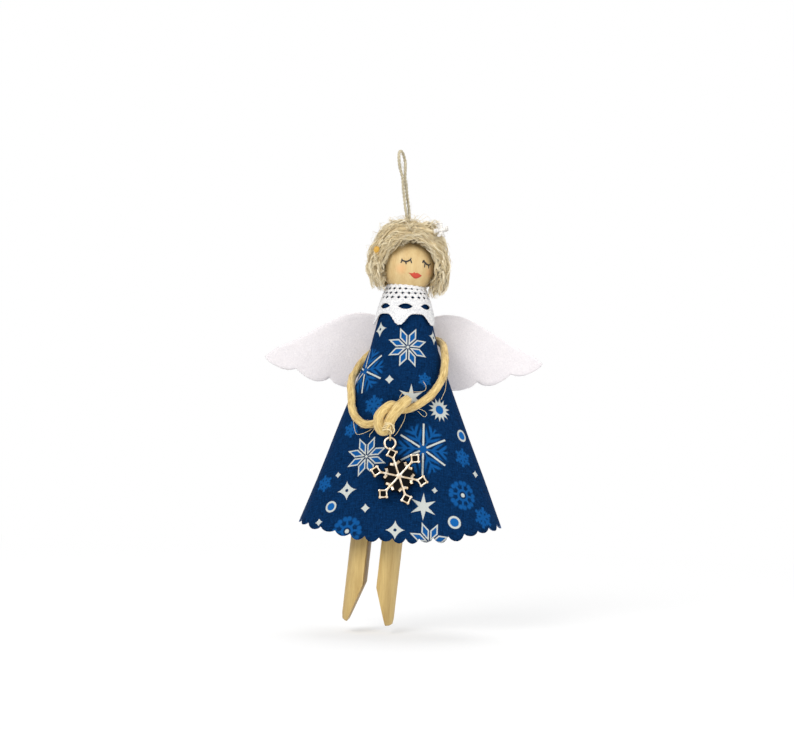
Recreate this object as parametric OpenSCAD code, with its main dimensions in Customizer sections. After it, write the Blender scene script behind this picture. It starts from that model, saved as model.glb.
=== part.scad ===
// Angel ornament made from a wooden dolly peg: printed cotton dress, lace collar, felt wings,
// cord arms tied in a knot, snowflake charm, mohair hair and a hanging loop of linen cord.
// Sizes are in millimetres. The doll faces -Y, +Z is up, and the origin is the inside top of the loop.

/* [Peg] */
// Length of the turned peg from toes to crown
peg_length = 111; // [100:1:120]
// Diameter of the ball head
head_d = 15.5; // [14.5:0.1:16.5]
// Height of the ball's centre above the top edge of the collar
head_rise = 6.25; // [5.5:0.05:7]
// Diameter of the neck
neck_d = 10.2; // [9.6:0.1:12]
// Diameter of the legs
leg_d = 15; // [13:0.1:17]
// Width of the slot between the legs
slot_w = 4.1; // [3:0.1:5]
// Length of the slot from the toes
slot_length = 62; // [50:1:70]
// Length of the bevel that opens the slot at the toes
toe_bevel = 11; // [6:0.5:16]
// Wood left at each toe
toe_thick = 1.9; // [1.5:0.1:3]
// Lean of the peg inside the dress in degrees
peg_lean = 5; // [3:0.5:6]
// Turn of the peg about its length in degrees
peg_turn = -5; // [-15:1:15]
// Diameter of the blind hole for the hanging cord
cord_hole_d = 2.6; // [2.4:0.1:3.4]
// Depth of that hole
cord_hole_depth = 8; // [6:0.5:9]

/* [Dress] */
// Height of the dress from its neck to the corners of the hem
dress_height = 64.5; // [56:0.5:70]
// Height of the bodice above the flare
bodice_height = 15; // [12:0.5:18]
// Width of the bodice at its lower end
bodice_width = 19.8; // [19:0.1:22]
// Depth of the bodice from front to back at its lower end
bodice_depth = 18; // [17.6:0.1:20]
// Width of the hem
hem_width = 58; // [50:0.5:64]
// Depth of the hem from front to back
hem_depth = 28.8; // [26:0.2:34]
// Dip of the hem at the middle of the front and back
hem_dip = 4.5; // [2:0.5:7]
// Number of teeth in the pinked hem
hem_teeth = 34; // [24:2:36]
// Depth of the hem teeth
tooth_depth = 1.6; // [0.6:0.1:2.2]
// Thickness of the cotton
cloth_thick = 0.5; // [0.4:0.05:0.6]

/* [Lace collar] */
// Height of the collar from its top edge to the tips
collar_height = 10.6; // [9:0.1:12]
// Rise of the arches between the tips
arch_rise = 3.1; // [2:0.1:4]
// Number of tips round the collar
collar_tips = 5; // [5:1:8]
// Turn of the first tip from the middle of the front in degrees
tip_turn = -11; // [-36:1:36]
// Width of each tip at its end
tip_width = 1.2; // [0.6:0.1:2]
// Thickness of the lace
lace_thick = 0.5; // [0.4:0.05:0.7]
// Number of eyelets round the collar, with one at the middle of the front
eyelets = 7; // [5:1:9]
// Length of each eyelet
eyelet_length = 3.7; // [2:0.1:4.2]
// Height of each eyelet
eyelet_height = 1.5; // [0.8:0.1:2]

/* [Wings] */
// Span of the wings from tip to tip
wing_span = 81.6; // [66:0.2:90]
// Thickness of the felt
felt_thick = 1.2; // [0.8:0.1:2]

/* [Arms and charm] */
// Diameter of the arm cord
arm_d = 2.5; // [2:0.1:2.6]
// Diameter of the tie thread
thread_d = 0.6; // [0.5:0.05:0.7]
// Length of the tie thread's link
thread_link = 4.2; // [3.8:0.1:6]
// Width of the snowflake charm from tip to tip
charm_width = 17.4; // [14:0.1:20]
// Thickness of the charm
charm_thick = 1.3; // [1:0.1:1.6]
// Width of the charm's bars
charm_bar = 0.8; // [0.6:0.05:1]
// Side of the open diamond at the end of each arm
diamond_side = 2.7; // [2.2:0.1:3.2]
// Diameter of the charm's ring, outside
ring_d = 3.9; // [3.6:0.1:4.6]
// Diameter of the ring's wire
ring_wire = 0.8; // [0.7:0.05:0.9]
// Swing of the charm to the side in degrees
charm_tilt = 18; // [0:1:25]
// Lean of the charm off the skirt in degrees
charm_lean = 3; // [3:0.5:10]

/* [Hair] */
// Thickness of the hair at the sides of the head
hair_thick = 2.9; // [2.4:0.1:4]
// Thickness of the hair over the crown
crown_thick = 6; // [4.5:0.1:7]
// Length of the bow in the hair
bow_length = 4.4; // [3:0.1:6]
// Width of the bow's ribbon
ribbon_w = 1.2; // [0.8:0.1:1.6]
// Diameter of the bead in the hair
bead_d = 2.1; // [1.6:0.1:2.4]

/* [Hanging loop] */
// Diameter of one strand of the loop
loop_d = 1; // [0.8:0.05:1.1]
// Diameter of the two strands laid together
stem_d = 1.9; // [1.6:0.05:2]

/* [Hidden] */
$fn = 48;
// Seat between a soft piece and what carries it
seat = 0.35;
// Running clearance of the tie thread
thread_gap = 0.12;
// Thickness of the bow's ribbon
ribbon_thick = 0.35;
// Reach of a cutter past the surface that it cuts
past = 1;
// Ease of the cotton round the neck under the collar
neck_ease = 0.25;
// Rounding of the toes
toe_round = 0.8;
// Place of the front edge of the hair and its tilt in degrees
hairline_y = -2.6;
hairline_tilt = 8;
// Turn of the bow and of the bead round the head in degrees, and the bow's own slant
bow_turn = -24;
bow_slant = 35;
bead_turn = -155;
// Hook point and swivel of the loop, from the neck datum
hook = [-2.5, 0, 38.9];
swivel = [-0.1, 0, 21.6];

head_r = head_d / 2;
crown_z = head_rise + head_r;
toe_z = crown_z - peg_length;
leg_r = leg_d / 2;
neck_r = neck_d / 2;
neck_wave = leg_r - neck_r;
shoulder_top = -3;
shoulder_end = -36;

dress_neck_r = neck_r + seat + neck_ease + cloth_thick;
dress_top = -3;
bodice_z = dress_top - bodice_height;
hem_z = dress_top - dress_height;
flare_x = (hem_width - bodice_width) / 2 / (dress_height - bodice_height);
flare_y = (hem_depth - bodice_depth) / 2 / (dress_height - bodice_height);
hem_even = (hem_width - hem_depth) / (hem_width + hem_depth);
columns = 2 * hem_teeth;
dress_rows = [dress_top, dress_top - bodice_height / 3, dress_top - bodice_height * 2 / 3, bodice_z,
    bodice_z - 2];

collar_in_top = neck_r + seat;
collar_step = dress_neck_r + seat;
collar_top = 0;
collar_tip_z = collar_top - collar_height;
collar_slope = (bodice_width / 2 - dress_neck_r) / bodice_height;
collar_tip_r = collar_step + (dress_top - collar_tip_z) * collar_slope;
arch_half = collar_tip_r * sin(180 / collar_tips) - tip_width / 2;
arch_r = (arch_half * arch_half + arch_rise * arch_rise) / (2 * arch_rise);
eyelet_z = collar_tip_z + collar_height * 0.46;
eyelet_r = (eyelet_length * eyelet_length + eyelet_height * eyelet_height) / (4 * eyelet_height);

thread_r = thread_d / 2;
knot_r = arm_d * 0.76;
lobe_r = arm_d * 0.52;
link_half = lobe_r + seat + thread_r;
ring_r = (ring_d - ring_wire) / 2;
wire_r = ring_wire / 2;
tie_x = -3.3;
tie_z = -39.4;
charm_room = 0.6;
pin_z = tie_z - thread_link + thread_r + thread_gap + wire_r;
tie_y = -(half_depth(pin_z - wire_r - charm_room) + seat + thread_r + link_half);
charm_r = charm_width / 2;
diamond_r = charm_r - diamond_side / sqrt(2);
ring_out = charm_r + ring_r - wire_r / 2;

// Outline of the hair from the ball's centre, where the crown turns over
hair_side = head_r + hair_thick;
hair_top = head_r + crown_thick;
hair_bulge = [hair_side * 0.84, head_r * 1.15];
hair_crest = [hair_side * 0.66, hair_top - crown_thick * 0.35];
bow_seat = (hair_bulge + hair_crest) / 2;
bow_slope = atan2(hair_bulge[0] - hair_crest[0], hair_crest[1] - hair_bulge[1]);

// Routes of the cords from the neck datum
stem_foot = crown_z - cord_hole_depth + stem_d / 2 + seat;
stem_axis = [sin(peg_lean), 0, cos(peg_lean)];
stem_route = [stem_axis * stem_foot, stem_axis * crown_z];
loop_route = [[0.2, 0.7, 23], [-0.3, 0.7, 26.3], [-0.7, 0.7, 29.3], [-1.1, 1.2, 31.8], [-1.1, 2, 34.3],
    [-1.2, 2.4, 36.5], [-1.8, 1.6, 38.6], [-2.5, 0, 39.4], [-3, -1.6, 38.6], [-3, -2.4, 36.5],
    [-2.6, -2, 34.3], [-1.9, -1.2, 31.8], [-1.6, -0.7, 29.3], [-1.2, -0.7, 26.3], [-0.8, -0.7, 23]];
left_upper_route = [[-9, 7.4, -18.6], [-11.2, 5.4, -20.6], [-13, 3.4, -23.1], [-14.25, 1.2, -25.3]];
left_lower_route = [[-14.75, -0.2, -26.4], [-15, -3.2, -28.4], [-14.8, -5.3, -30.6], [-14.6, -6.6, -32.6],
    [-14.4, -8, -35], [-13.3, -9.5, -37.3], [-11.4, -11, -38.9], [-9.4, -12.2, -39.3], [-6.6, -13.2, -38.2]];
right_upper_route = [[8.2, 7.6, -14.5], [10.1, 5, -15.2], [11.2, 1.8, -16.3], [11.6, -1.4, -18],
    [11.7, -3.4, -19.6]];
right_lower_route = [[11.8, -4.6, -20.6], [11.5, -6.9, -24], [10.6, -8.6, -26.6], [9.2, -10, -28.9],
    [7.1, -11.4, -31.3], [4.8, -12.4, -33], [2.6, -13.1, -34.2], [0, -13.4, -34.9]];
// Ends of the knot's three turns, from the tie
knot_core = [[-2.7, 0.6, 1.8], [2.3, 0.6, 4.8]];
knot_fall = [[-2.1, 0.2, 3.6], [0, 0, 0]];
knot_rise = [[0.9, 0, 2.6], [2.9, 0.3, 6.8]];

// Locks of hair in head radii from the ball's centre: x, y, z and thickness
left_lock = [[-0.1, -0.93, 1.07, 0.16], [-0.45, -0.95, 0.9, 0.26], [-0.92, -0.82, 0.5, 0.21],
    [-1.18, -0.72, 0.05, 0.28], [-1.24, -0.66, -0.4, 0.3], [-1.16, -0.66, -0.75, 0.22]];
right_lock = [[0.2, -0.93, 1.07, 0.16], [0.58, -0.92, 0.94, 0.26], [0.98, -0.76, 0.55, 0.25],
    [1.2, -0.68, 0.05, 0.28], [1.24, -0.64, -0.5, 0.3], [1.16, -0.66, -1.02, 0.22]];

// Half outline of the wings at a span of 79.2: top edge, then three feather lobes
outline_span = 79.2;
wing_top = [[0, -13], [4, -11.6], [9, -8], [15.6, -7.9], [21.8, -10.6], [30.9, -15.8], [36.2, -18.2],
    [39.6, -20.8]];
lobe_tip = [[39.6, -20.8], [38.2, -22.4], [35.4, -23.9], [32.6, -24.5], [30.6, -24]];
lobe_mid = [[30.6, -24], [28.6, -25.8], [25.6, -27.3], [22.8, -27.4], [21, -26.4]];
lobe_root = [[21, -26.4], [19.4, -28], [15.4, -29.1], [8, -29.4], [0, -29.4]];

// Half width and half depth of the dress's outside at a height
function half_width(z) = z > bodice_z
    ? dress_neck_r + (bodice_width / 2 - dress_neck_r) * (dress_top - z) / bodice_height
    : bodice_width / 2 + (bodice_z - z) * flare_x;
function half_depth(z) = z > bodice_z
    ? dress_neck_r + (bodice_depth / 2 - dress_neck_r) * (dress_top - z) / bodice_height
    : bodice_depth / 2 + (bodice_z - z) * flare_y;

// Angle of a column, spread so that the teeth of the hem are even
function column_angle(j) = let (a = 360 * j / columns) a + hem_even * 90 / PI * sin(2 * a);
function hem_at(j) = hem_z - hem_dip * pow(sin(column_angle(j)), 2) - tooth_depth * (j % 2 - 0.5);
function dress_point(z, j, inset) = let (a = column_angle(j))
    [(half_width(z) - inset) * cos(a), (half_depth(z) - inset) * sin(a), z];
function dress_ring(i, inset) = [for (j = [0 : columns - 1])
    dress_point(i < len(dress_rows) ? dress_rows[i] : hem_at(j), j, inset)];

// Smooth curve through points, with steps pieces between two of them
function spline_at(p, i, t) = let (
        a = p[max(i - 1, 0)],
        b = p[i],
        c = p[i + 1],
        d = p[min(i + 2, len(p) - 1)]
    )
    0.5 * (2 * b + (c - a) * t + (2 * a - 5 * b + 4 * c - d) * t * t + (3 * b - a - 3 * c + d) * t * t * t);
function spline(p, steps) = concat(
    [for (i = [0 : len(p) - 2], s = [0 : steps - 1]) spline_at(p, i, s / steps)], [p[len(p) - 1]]);

// Frames carried along a route without twist
function unit(v) = v / norm(v);
function along(p) = [for (i = [0 : len(p) - 1]) unit(p[min(i + 1, len(p) - 1)] - p[max(i - 1, 0)])];
function carried(t, i, n) = unit(n - t[i] * (n * t[i]));
function carry(t, i = 0, kept = []) = i == len(t) ? kept
    : carry(t, i + 1, concat(kept, [carried(t, i, i == 0 ? [0.31, 0.85, 0.42] : kept[i - 1])]));

// Round tube along a route; radii gives its radius at each point
module tube(p, radii, sides = 8) {
    t = along(p);
    n = carry(t);
    count = len(p);
    rings = [for (i = [0 : count - 1], s = [0 : sides - 1])
        p[i] + radii[i] * (n[i] * cos(360 * s / sides) + cross(t[i], n[i]) * sin(360 * s / sides))];
    walls = [for (i = [0 : count - 2], s = [0 : sides - 1])
        let (a = i * sides + s, b = i * sides + (s + 1) % sides)
        each [[a, a + sides, b], [b, a + sides, b + sides]]];
    starts = [for (s = [1 : sides - 2]) [0, s, s + 1]];
    last = (count - 1) * sides;
    ends = [for (s = [1 : sides - 2]) [last, last + s + 1, last + s]];
    polyhedron(rings, concat(walls, starts, ends));
}

// Even cord along a route, with its ends rounded where asked
module cord(route, d, steps = 3, round_start = false, round_end = false) {
    p = spline(route, steps);
    t = along(p);
    last = len(p) - 1;
    closing = [25, 50, 80];
    opening = [80, 50, 25];
    head = round_start ? [for (a = opening) p[0] - t[0] * d / 2 * sin(a)] : [];
    head_radii = round_start ? [for (a = opening) d / 2 * cos(a)] : [];
    tail = round_end ? [for (a = closing) p[last] + t[last] * d / 2 * sin(a)] : [];
    tail_radii = round_end ? [for (a = closing) d / 2 * cos(a)] : [];
    tube(concat(head, p, tail), concat(head_radii, [for (q = p) d / 2], tail_radii));
}

// Straight round rod between two points with rounded ends
module rod(a, b, r) {
    v = b - a;
    low = [for (t = [-90 : 18 : 0]) [r * cos(t), r * sin(t)]];
    high = [for (t = [0 : 18 : 90]) [r * cos(t), norm(v) + r * sin(t)]];
    translate(a)
        rotate([0, acos(v[2] / norm(v)), atan2(v[1], v[0])])
            rotate_extrude()
                polygon(concat(low, high));
}

// Puts what is built at the neck datum under the hook point
module hung() {
    translate(-hook) children();
}

// Leans what is built on the peg's own length
module on_peg() {
    hung() rotate([0, peg_lean, 0]) children();
}

module peg_profile() {
    steps = 12;
    rise = [for (i = [0 : steps])
        let (f = i / steps, ease = (1 - cos(180 * f)) / 2)
        [leg_r - neck_wave * ease, shoulder_end + (shoulder_top - shoulder_end) * f]];
    toes = [[0, toe_z], [leg_r - toe_round, toe_z], [leg_r - toe_round / 4, toe_z + toe_round * 0.6],
        [leg_r, toe_z + toe_round * 2.5]];
    polygon(concat(toes, rise, [[neck_r, head_rise], [0, head_rise]]));
}

module leg_slot() {
    top = toe_z + slot_length;
    wide = leg_r - toe_thick;
    translate([0, leg_r + past, 0])
        rotate([90, 0, 0])
            linear_extrude(leg_d + 2 * past)
                polygon([[-wide, toe_z - past], [-wide, toe_z], [-slot_w / 2, toe_z + toe_bevel],
                    [-slot_w / 2, top], [slot_w / 2, top], [slot_w / 2, toe_z + toe_bevel],
                    [wide, toe_z], [wide, toe_z - past]]);
    translate([0, leg_r + past, top])
        rotate([90, 0, 0])
            cylinder(d = slot_w, h = leg_d + 2 * past);
}

module wooden_peg() {
    color([0.87, 0.74, 0.52])
        on_peg() rotate([0, 0, peg_turn]) difference() {
            union() {
                rotate_extrude() peg_profile();
                translate([0, 0, head_rise]) sphere(head_r);
            }
            leg_slot();
            translate([0, 0, crown_z - cord_hole_depth])
                cylinder(d = cord_hole_d, h = cord_hole_depth + past);
        }
}

module dress() {
    rows = len(dress_rows) + 1;
    outer = [for (i = [0 : rows - 1]) each dress_ring(i, 0)];
    inner = [for (i = [0 : rows - 1]) each dress_ring(i, cloth_thick)];
    half = rows * columns;
    skin = [for (i = [0 : rows - 2], j = [0 : columns - 1])
        let (a = i * columns + j, b = i * columns + (j + 1) % columns)
        each [[a, b, a + columns], [b, b + columns, a + columns],
            [half + a, half + a + columns, half + b],
            [half + b, half + a + columns, half + b + columns]]];
    last = half - columns;
    rims = [for (j = [0 : columns - 1])
        let (k = (j + 1) % columns)
        each [[j, half + j, k], [k, half + j, half + k],
            [last + j, last + k, half + last + j], [last + k, half + last + k, half + last + j]]];
    color([0.05, 0.17, 0.4])
        hung() polyhedron(concat(outer, inner), concat(skin, rims));
}

module lace_collar() {
    color([0.95, 0.94, 0.91])
        hung() difference() {
            rotate_extrude()
                polygon([[collar_in_top, collar_top], [collar_in_top + lace_thick, collar_top],
                    [collar_step + lace_thick, dress_top], [collar_tip_r + lace_thick, collar_tip_z],
                    [collar_tip_r, collar_tip_z], [collar_step, dress_top]]);
            for (i = [0 : collar_tips - 1])
                rotate([0, 0, 360 * (i + 0.5) / collar_tips - 90 + tip_turn])
                    translate([neck_r, 0, collar_tip_z + arch_rise - arch_r])
                        rotate([0, 90, 0])
                            cylinder(r = arch_r, h = leg_d);
            for (i = [0 : eyelets - 1])
                rotate([0, 0, 360 * i / eyelets - 90])
                    translate([neck_r, 0, eyelet_z])
                        rotate([0, 90, 0])
                            intersection() {
                                translate([eyelet_r - eyelet_height / 2, 0, 0])
                                    cylinder(r = eyelet_r, h = leg_d);
                                translate([eyelet_height / 2 - eyelet_r, 0, 0])
                                    cylinder(r = eyelet_r, h = leg_d);
                            }
        }
}

module wing_outline() {
    half = concat(spline(wing_top, 4), spline(lobe_tip, 3), spline(lobe_mid, 3), spline(lobe_root, 3));
    count = len(half);
    other = [for (i = [count - 2 : -1 : 1]) [-half[i][0], half[i][1]]];
    polygon(concat(half, other) * wing_span / outline_span);
}

module felt_wings() {
    color([0.93, 0.92, 0.91])
        hung() translate([0, bodice_depth / 2 + seat, bodice_z])
            rotate([atan(flare_y), 0, 0])
                translate([0, felt_thick, -bodice_z])
                    rotate([90, 0, 0])
                        linear_extrude(felt_thick)
                            wing_outline();
}

module left_arm_upper() {
    color([0.8, 0.67, 0.42]) hung() cord(left_upper_route, arm_d);
}

module right_arm_upper() {
    color([0.8, 0.67, 0.42]) hung() cord(right_upper_route, arm_d);
}

module left_arm_lower() {
    color([0.8, 0.67, 0.42]) hung() cord(left_lower_route, arm_d, 3, true);
}

module right_arm_lower() {
    color([0.8, 0.67, 0.42]) hung() cord(right_lower_route, arm_d, 3, true);
}

module hands_knot() {
    color([0.8, 0.67, 0.42])
        hung() translate([tie_x, tie_y, tie_z]) difference() {
            union() {
                rod(knot_core[0], knot_core[1], knot_r);
                rod(knot_fall[0], knot_fall[1], lobe_r);
                rod(knot_rise[0], knot_rise[1], lobe_r);
            }
            translate([0, -leg_r, 0])
                rotate([-90, 0, 0])
                    cylinder(r = thread_r + 2 * thread_gap, h = leg_d);
        }
}

module thread_corner() {
    rotate_extrude(angle = 90) translate([2 * thread_r, 0]) circle(thread_r);
}

module charm_thread() {
    bend = 2 * thread_r;
    color([0.86, 0.8, 0.66])
        hung() translate([tie_x, tie_y, tie_z - thread_link / 2])
            rotate([90, 0, 90]) {
                for (side = [0, 1], end = [0, 1]) {
                    mirror([side, 0, 0]) mirror([0, end, 0]) {
                        translate([link_half - bend, thread_link / 2 - bend, 0]) thread_corner();
                        translate([0, thread_link / 2, 0])
                            rotate([0, 90, 0])
                                cylinder(r = thread_r, h = link_half - bend);
                        translate([link_half, 0, 0])
                            rotate([-90, 0, 0])
                                cylinder(r = thread_r, h = thread_link / 2 - bend);
                    }
                }
            }
}

module charm_arm() {
    barb_at = charm_r * 0.36;
    barb_long = charm_r * 0.17;
    translate([-charm_bar / 2, 0]) square([charm_bar, diamond_r - diamond_side / 2]);
    for (side = [-60, 60]) {
        translate([0, barb_at])
            rotate(side)
                translate([-charm_bar / 2, 0])
                    square([charm_bar, barb_long]);
    }
    translate([0, diamond_r])
        rotate(45)
            difference() {
                square(diamond_side, center = true);
                square(diamond_side - 2 * charm_bar, center = true);
            }
}

module snowflake_charm() {
    color([0.62, 0.6, 0.57])
        hung() translate([tie_x, tie_y, pin_z])
            rotate([-charm_lean, 0, 0])
                translate([0, 0, -ring_r])
                    rotate([0, -charm_tilt, 0])
                        rotate([90, 0, 0])
                            translate([0, -ring_out, 0])
                                union() {
                                    translate([0, 0, -charm_thick / 2])
                                        linear_extrude(charm_thick)
                                            for (i = [0 : 5]) rotate(60 * i) charm_arm();
                                    translate([0, ring_out, 0])
                                        rotate_extrude() translate([ring_r, 0]) circle(wire_r);
                                }
}

module hair_profile() {
    polygon([[0, -head_r], [hair_side * 0.82, -head_r], [hair_side * 0.92, -head_r * 0.75],
        [hair_side * 0.99, -head_r * 0.3], [hair_side, head_r * 0.2], [hair_side * 0.95, head_r * 0.75],
        hair_bulge, hair_crest, [hair_side * 0.38, hair_top - crown_thick * 0.08],
        [hair_side * 0.15, hair_top], [0, hair_top]]);
}

module hair_cap() {
    inner = head_r + seat;
    bore = stem_d / 2 + seat;
    foot = stem_axis * crown_z;
    color([0.79, 0.73, 0.57])
        difference() {
            on_peg() translate([0, 0, head_rise]) difference() {
                rotate_extrude() hair_profile();
                sphere(inner);
                translate([0, 0, -inner - head_r]) cylinder(r = inner, h = inner + head_r);
                translate([0, hairline_y, 0])
                    rotate([hairline_tilt, 0, 0])
                        translate([-leg_d, -leg_d, -2 * head_d])
                            cube([2 * leg_d, leg_d, 4 * head_d]);
            }
            hung() rod(foot, swivel + (swivel - foot) / 4, bore);
        }
}

module hair_lock(points) {
    p = spline([for (q = points) [q[0], q[1], q[2]] * head_r], 3);
    r = spline([for (q = points) q[3] * head_r], 3);
    color([0.82, 0.76, 0.6])
        hung() translate([head_rise * sin(peg_lean), 0, head_rise * cos(peg_lean)])
            tube(p, r, 10);
}

module left_hair_lock() {
    hair_lock(left_lock);
}

module right_hair_lock() {
    hair_lock(right_lock);
}

// Stands what is built on the hair, turned about the peg and raised from the ball's centre
module on_hair(turn, rise, out) {
    on_peg() translate([0, 0, head_rise + rise])
        rotate([0, 0, turn])
            translate([out, 0, 0])
                children();
}

module bow_loop(r) {
    difference() {
        cylinder(r = r, h = ribbon_w, center = true);
        cylinder(r = r - ribbon_thick, h = 2 * ribbon_w, center = true);
    }
}

module hair_bow() {
    loop_r = bow_length / 4;
    color([0.95, 0.94, 0.92])
        on_hair(bow_turn, bow_seat[1], bow_seat[0])
            rotate([0, -bow_slope, 0])
                translate([seat + ribbon_w / 2, 0, 0])
                    rotate([bow_slant, 0, 0])
                        union() {
                            for (side = [-1, 1]) {
                                translate([0, side * (loop_r + ribbon_thick / 2), 0])
                                    rotate([0, 90, 0])
                                        bow_loop(loop_r);
                            }
                            sphere(ribbon_w * 0.55);
                        }
}

module yellow_bead() {
    color([0.85, 0.62, 0.2])
        on_hair(bead_turn, head_r / 2, hair_side + seat)
            sphere(bead_d / 2);
}

module loop_stem() {
    color([0.66, 0.6, 0.5]) hung() cord(concat(stem_route, [swivel]), stem_d, 4, true, true);
}

module hang_loop() {
    color([0.66, 0.6, 0.5]) hung() cord(loop_route, loop_d, 4);
}

wooden_peg();
dress();
lace_collar();
felt_wings();
left_arm_upper();
right_arm_upper();
left_arm_lower();
right_arm_lower();
hands_knot();
charm_thread();
snowflake_charm();
hair_cap();
left_hair_lock();
right_hair_lock();
hair_bow();
yellow_bead();
loop_stem();
hang_loop();
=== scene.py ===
"""Looks of a peg-doll angel ornament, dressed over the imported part.

Lengths are in millimetres from the neck datum, the middle of the collar's top edge, until a mesh is made.
The doll faces -Y, +X is to the viewer's right and +Z is up.
"""

import logging
import math
import random
from dataclasses import dataclass, field
from enum import Enum
from itertools import accumulate
from math import cos, pi, radians, sin
from typing import Callable, Optional, Sequence, Union

import bpy
from mathutils import Euler, Matrix, Vector, noise

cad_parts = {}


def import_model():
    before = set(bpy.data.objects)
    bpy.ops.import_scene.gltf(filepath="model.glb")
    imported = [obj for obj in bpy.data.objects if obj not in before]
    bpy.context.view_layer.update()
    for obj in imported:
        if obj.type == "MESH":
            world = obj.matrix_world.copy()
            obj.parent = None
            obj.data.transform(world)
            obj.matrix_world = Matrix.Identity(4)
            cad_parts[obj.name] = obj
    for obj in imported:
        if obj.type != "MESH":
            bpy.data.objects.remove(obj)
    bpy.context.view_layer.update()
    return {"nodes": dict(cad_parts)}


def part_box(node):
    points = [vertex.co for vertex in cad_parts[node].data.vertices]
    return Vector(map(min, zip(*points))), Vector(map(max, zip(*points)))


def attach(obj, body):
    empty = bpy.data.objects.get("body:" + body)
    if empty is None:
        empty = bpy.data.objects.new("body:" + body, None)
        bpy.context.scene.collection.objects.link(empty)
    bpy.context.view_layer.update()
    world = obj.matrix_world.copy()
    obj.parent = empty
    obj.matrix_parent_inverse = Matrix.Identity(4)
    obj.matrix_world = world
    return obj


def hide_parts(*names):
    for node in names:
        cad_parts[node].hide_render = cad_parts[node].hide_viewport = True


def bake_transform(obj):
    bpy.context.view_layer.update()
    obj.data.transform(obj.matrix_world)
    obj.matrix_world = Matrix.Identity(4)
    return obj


Piece = bpy.types.Object
Material = bpy.types.Material
Colour = tuple[float, float, float, float]
Flat = tuple[float, float]
Place = tuple[float, float, float]
Thick = tuple[float, float, float, float]
Flats = tuple[Flat, ...]
Places = tuple[Place, ...]
Guide = tuple[Thick, ...]
Point = Sequence[float]
Line = Sequence[Vector]
Frame = tuple[Vector, Vector]

log = logging.getLogger("angel")

MM = 0.001
TURN = 2 * pi
WHITE: Colour = (1, 1, 1, 1)
HOOK = Vector((-2.5, 0, 38.9))
PEG_LEAN = radians(5)
PEG_AXIS = Vector((sin(PEG_LEAN), 0, cos(PEG_LEAN)))
HEAD_R = 7.75
HEAD_RISE = 6.25
HEAD_CENTRE = PEG_AXIS * HEAD_RISE


def tint(*levels: int) -> Colour:
    """Turns red, green and blue of the screen, 0 to 255, into the linear colour that a shader takes."""
    shares = [level / 255 for level in levels]
    return (*(c / 12.92 if c <= 0.04045 else ((c + 0.055) / 1.055) ** 2.4 for c in shares), 1.0)


def placed(point: Point) -> Vector:
    """Moves a point of the neck datum into the part's frame, in metres."""
    return (Vector(point) - HOOK) * MM


def moved(by: Point) -> Matrix:
    """Gives a move."""
    return Matrix.Translation(by)


def turned(degrees: float, axis: str) -> Matrix:
    """Gives a turn about an axis through the datum."""
    return Matrix.Rotation(radians(degrees), 4, axis)


def spline(points: Sequence[Point], steps: int) -> list[Vector]:
    """Draws a smooth curve through points.

    Args:
        points: Points that the curve passes, of any dimension.
        steps: Pieces between two points.

    Returns:
        The points of the curve.
    """
    knots = [Vector(p) for p in points]
    last = len(knots) - 1
    curve: list[Vector] = []
    for i in range(last):
        a, b = knots[max(i - 1, 0)], knots[i]
        c, d = knots[i + 1], knots[min(i + 2, last)]
        for s in range(steps):
            t = s / steps
            bend = (2 * a - 5 * b + 4 * c - d) * t**2 + (3 * b - a - 3 * c + d) * t**3
            curve.append(0.5 * (2 * b + (c - a) * t + bend))
    curve.append(knots[last])
    return curve


def runs_of(points: Line) -> list[float]:
    """Gives the length along a line of points up to each of them, from 0 at the first."""
    return list(accumulate(((b - a).length for a, b in zip(points, points[1:])), initial=0.0))


def carried_frames(path: Line) -> list[Frame]:
    """Carries a frame along a line of points without twist.

    Args:
        path: Points of the line.

    Returns:
        The two cross directions at each point.
    """
    last = len(path) - 1
    frames: list[Frame] = []
    side = Vector((0.31, 0.85, 0.42))
    for i in range(last + 1):
        along = (path[min(i + 1, last)] - path[max(i - 1, 0)]).normalized()
        side = (side - along * side.dot(along)).normalized()
        frames.append((side, along.cross(side)))
    return frames


def towards(frame: Frame, angle: float) -> Vector:
    """Gives the direction round a line at an angle of its frame."""
    return frame[0] * cos(angle) + frame[1] * sin(angle)


def turns_of(count: int) -> list[float]:
    """Gives even angles all round."""
    return [TURN * i / count for i in range(count)]


def smooth(low: float, high: float, x: float) -> float:
    """Eases from 0 at low to 1 at high."""
    t = min(1, max(0, (x - low) / (high - low)))
    return t * t * (3 - 2 * t)


class Body(Enum):
    """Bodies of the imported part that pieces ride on."""

    HANGER = "hanger"
    DOLL = "doll"
    ARMS = "arms"
    THREAD = "thread"
    CHARM = "charm"


def stands_for(piece: Piece, slot: str, *nodes: str, body: Optional[Body] = None) -> None:
    """Lets a piece stand for nodes and reports it.

    Args:
        piece: The piece.
        slot: Material slot of the record that it takes its finish from; not used.
        nodes: Nodes that it stands for.
        body: Body that it rides on, or None to leave it unattached.
    """
    if body is not None:
        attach(piece, body.value)
    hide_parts(*nodes)
    log.info("%s: %d faces, stands for %s", piece.name, len(piece.data.polygons), ", ".join(nodes))


def declare_cord(cord: Piece, route: Line, leaves: Point, wide: float) -> None:
    """Logs the length of a limp hanging cord.

    Args:
        cord: The piece.
        route: Its middle line.
        leaves: Point where it leaves the object.
        wide: Its diameter; not used.
    """
    length = runs_of(route)[-1]
    placed(leaves)
    [placed(p) for p in route]
    log.info("%s: %.1f mm of cord", cord.name, length)


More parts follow.
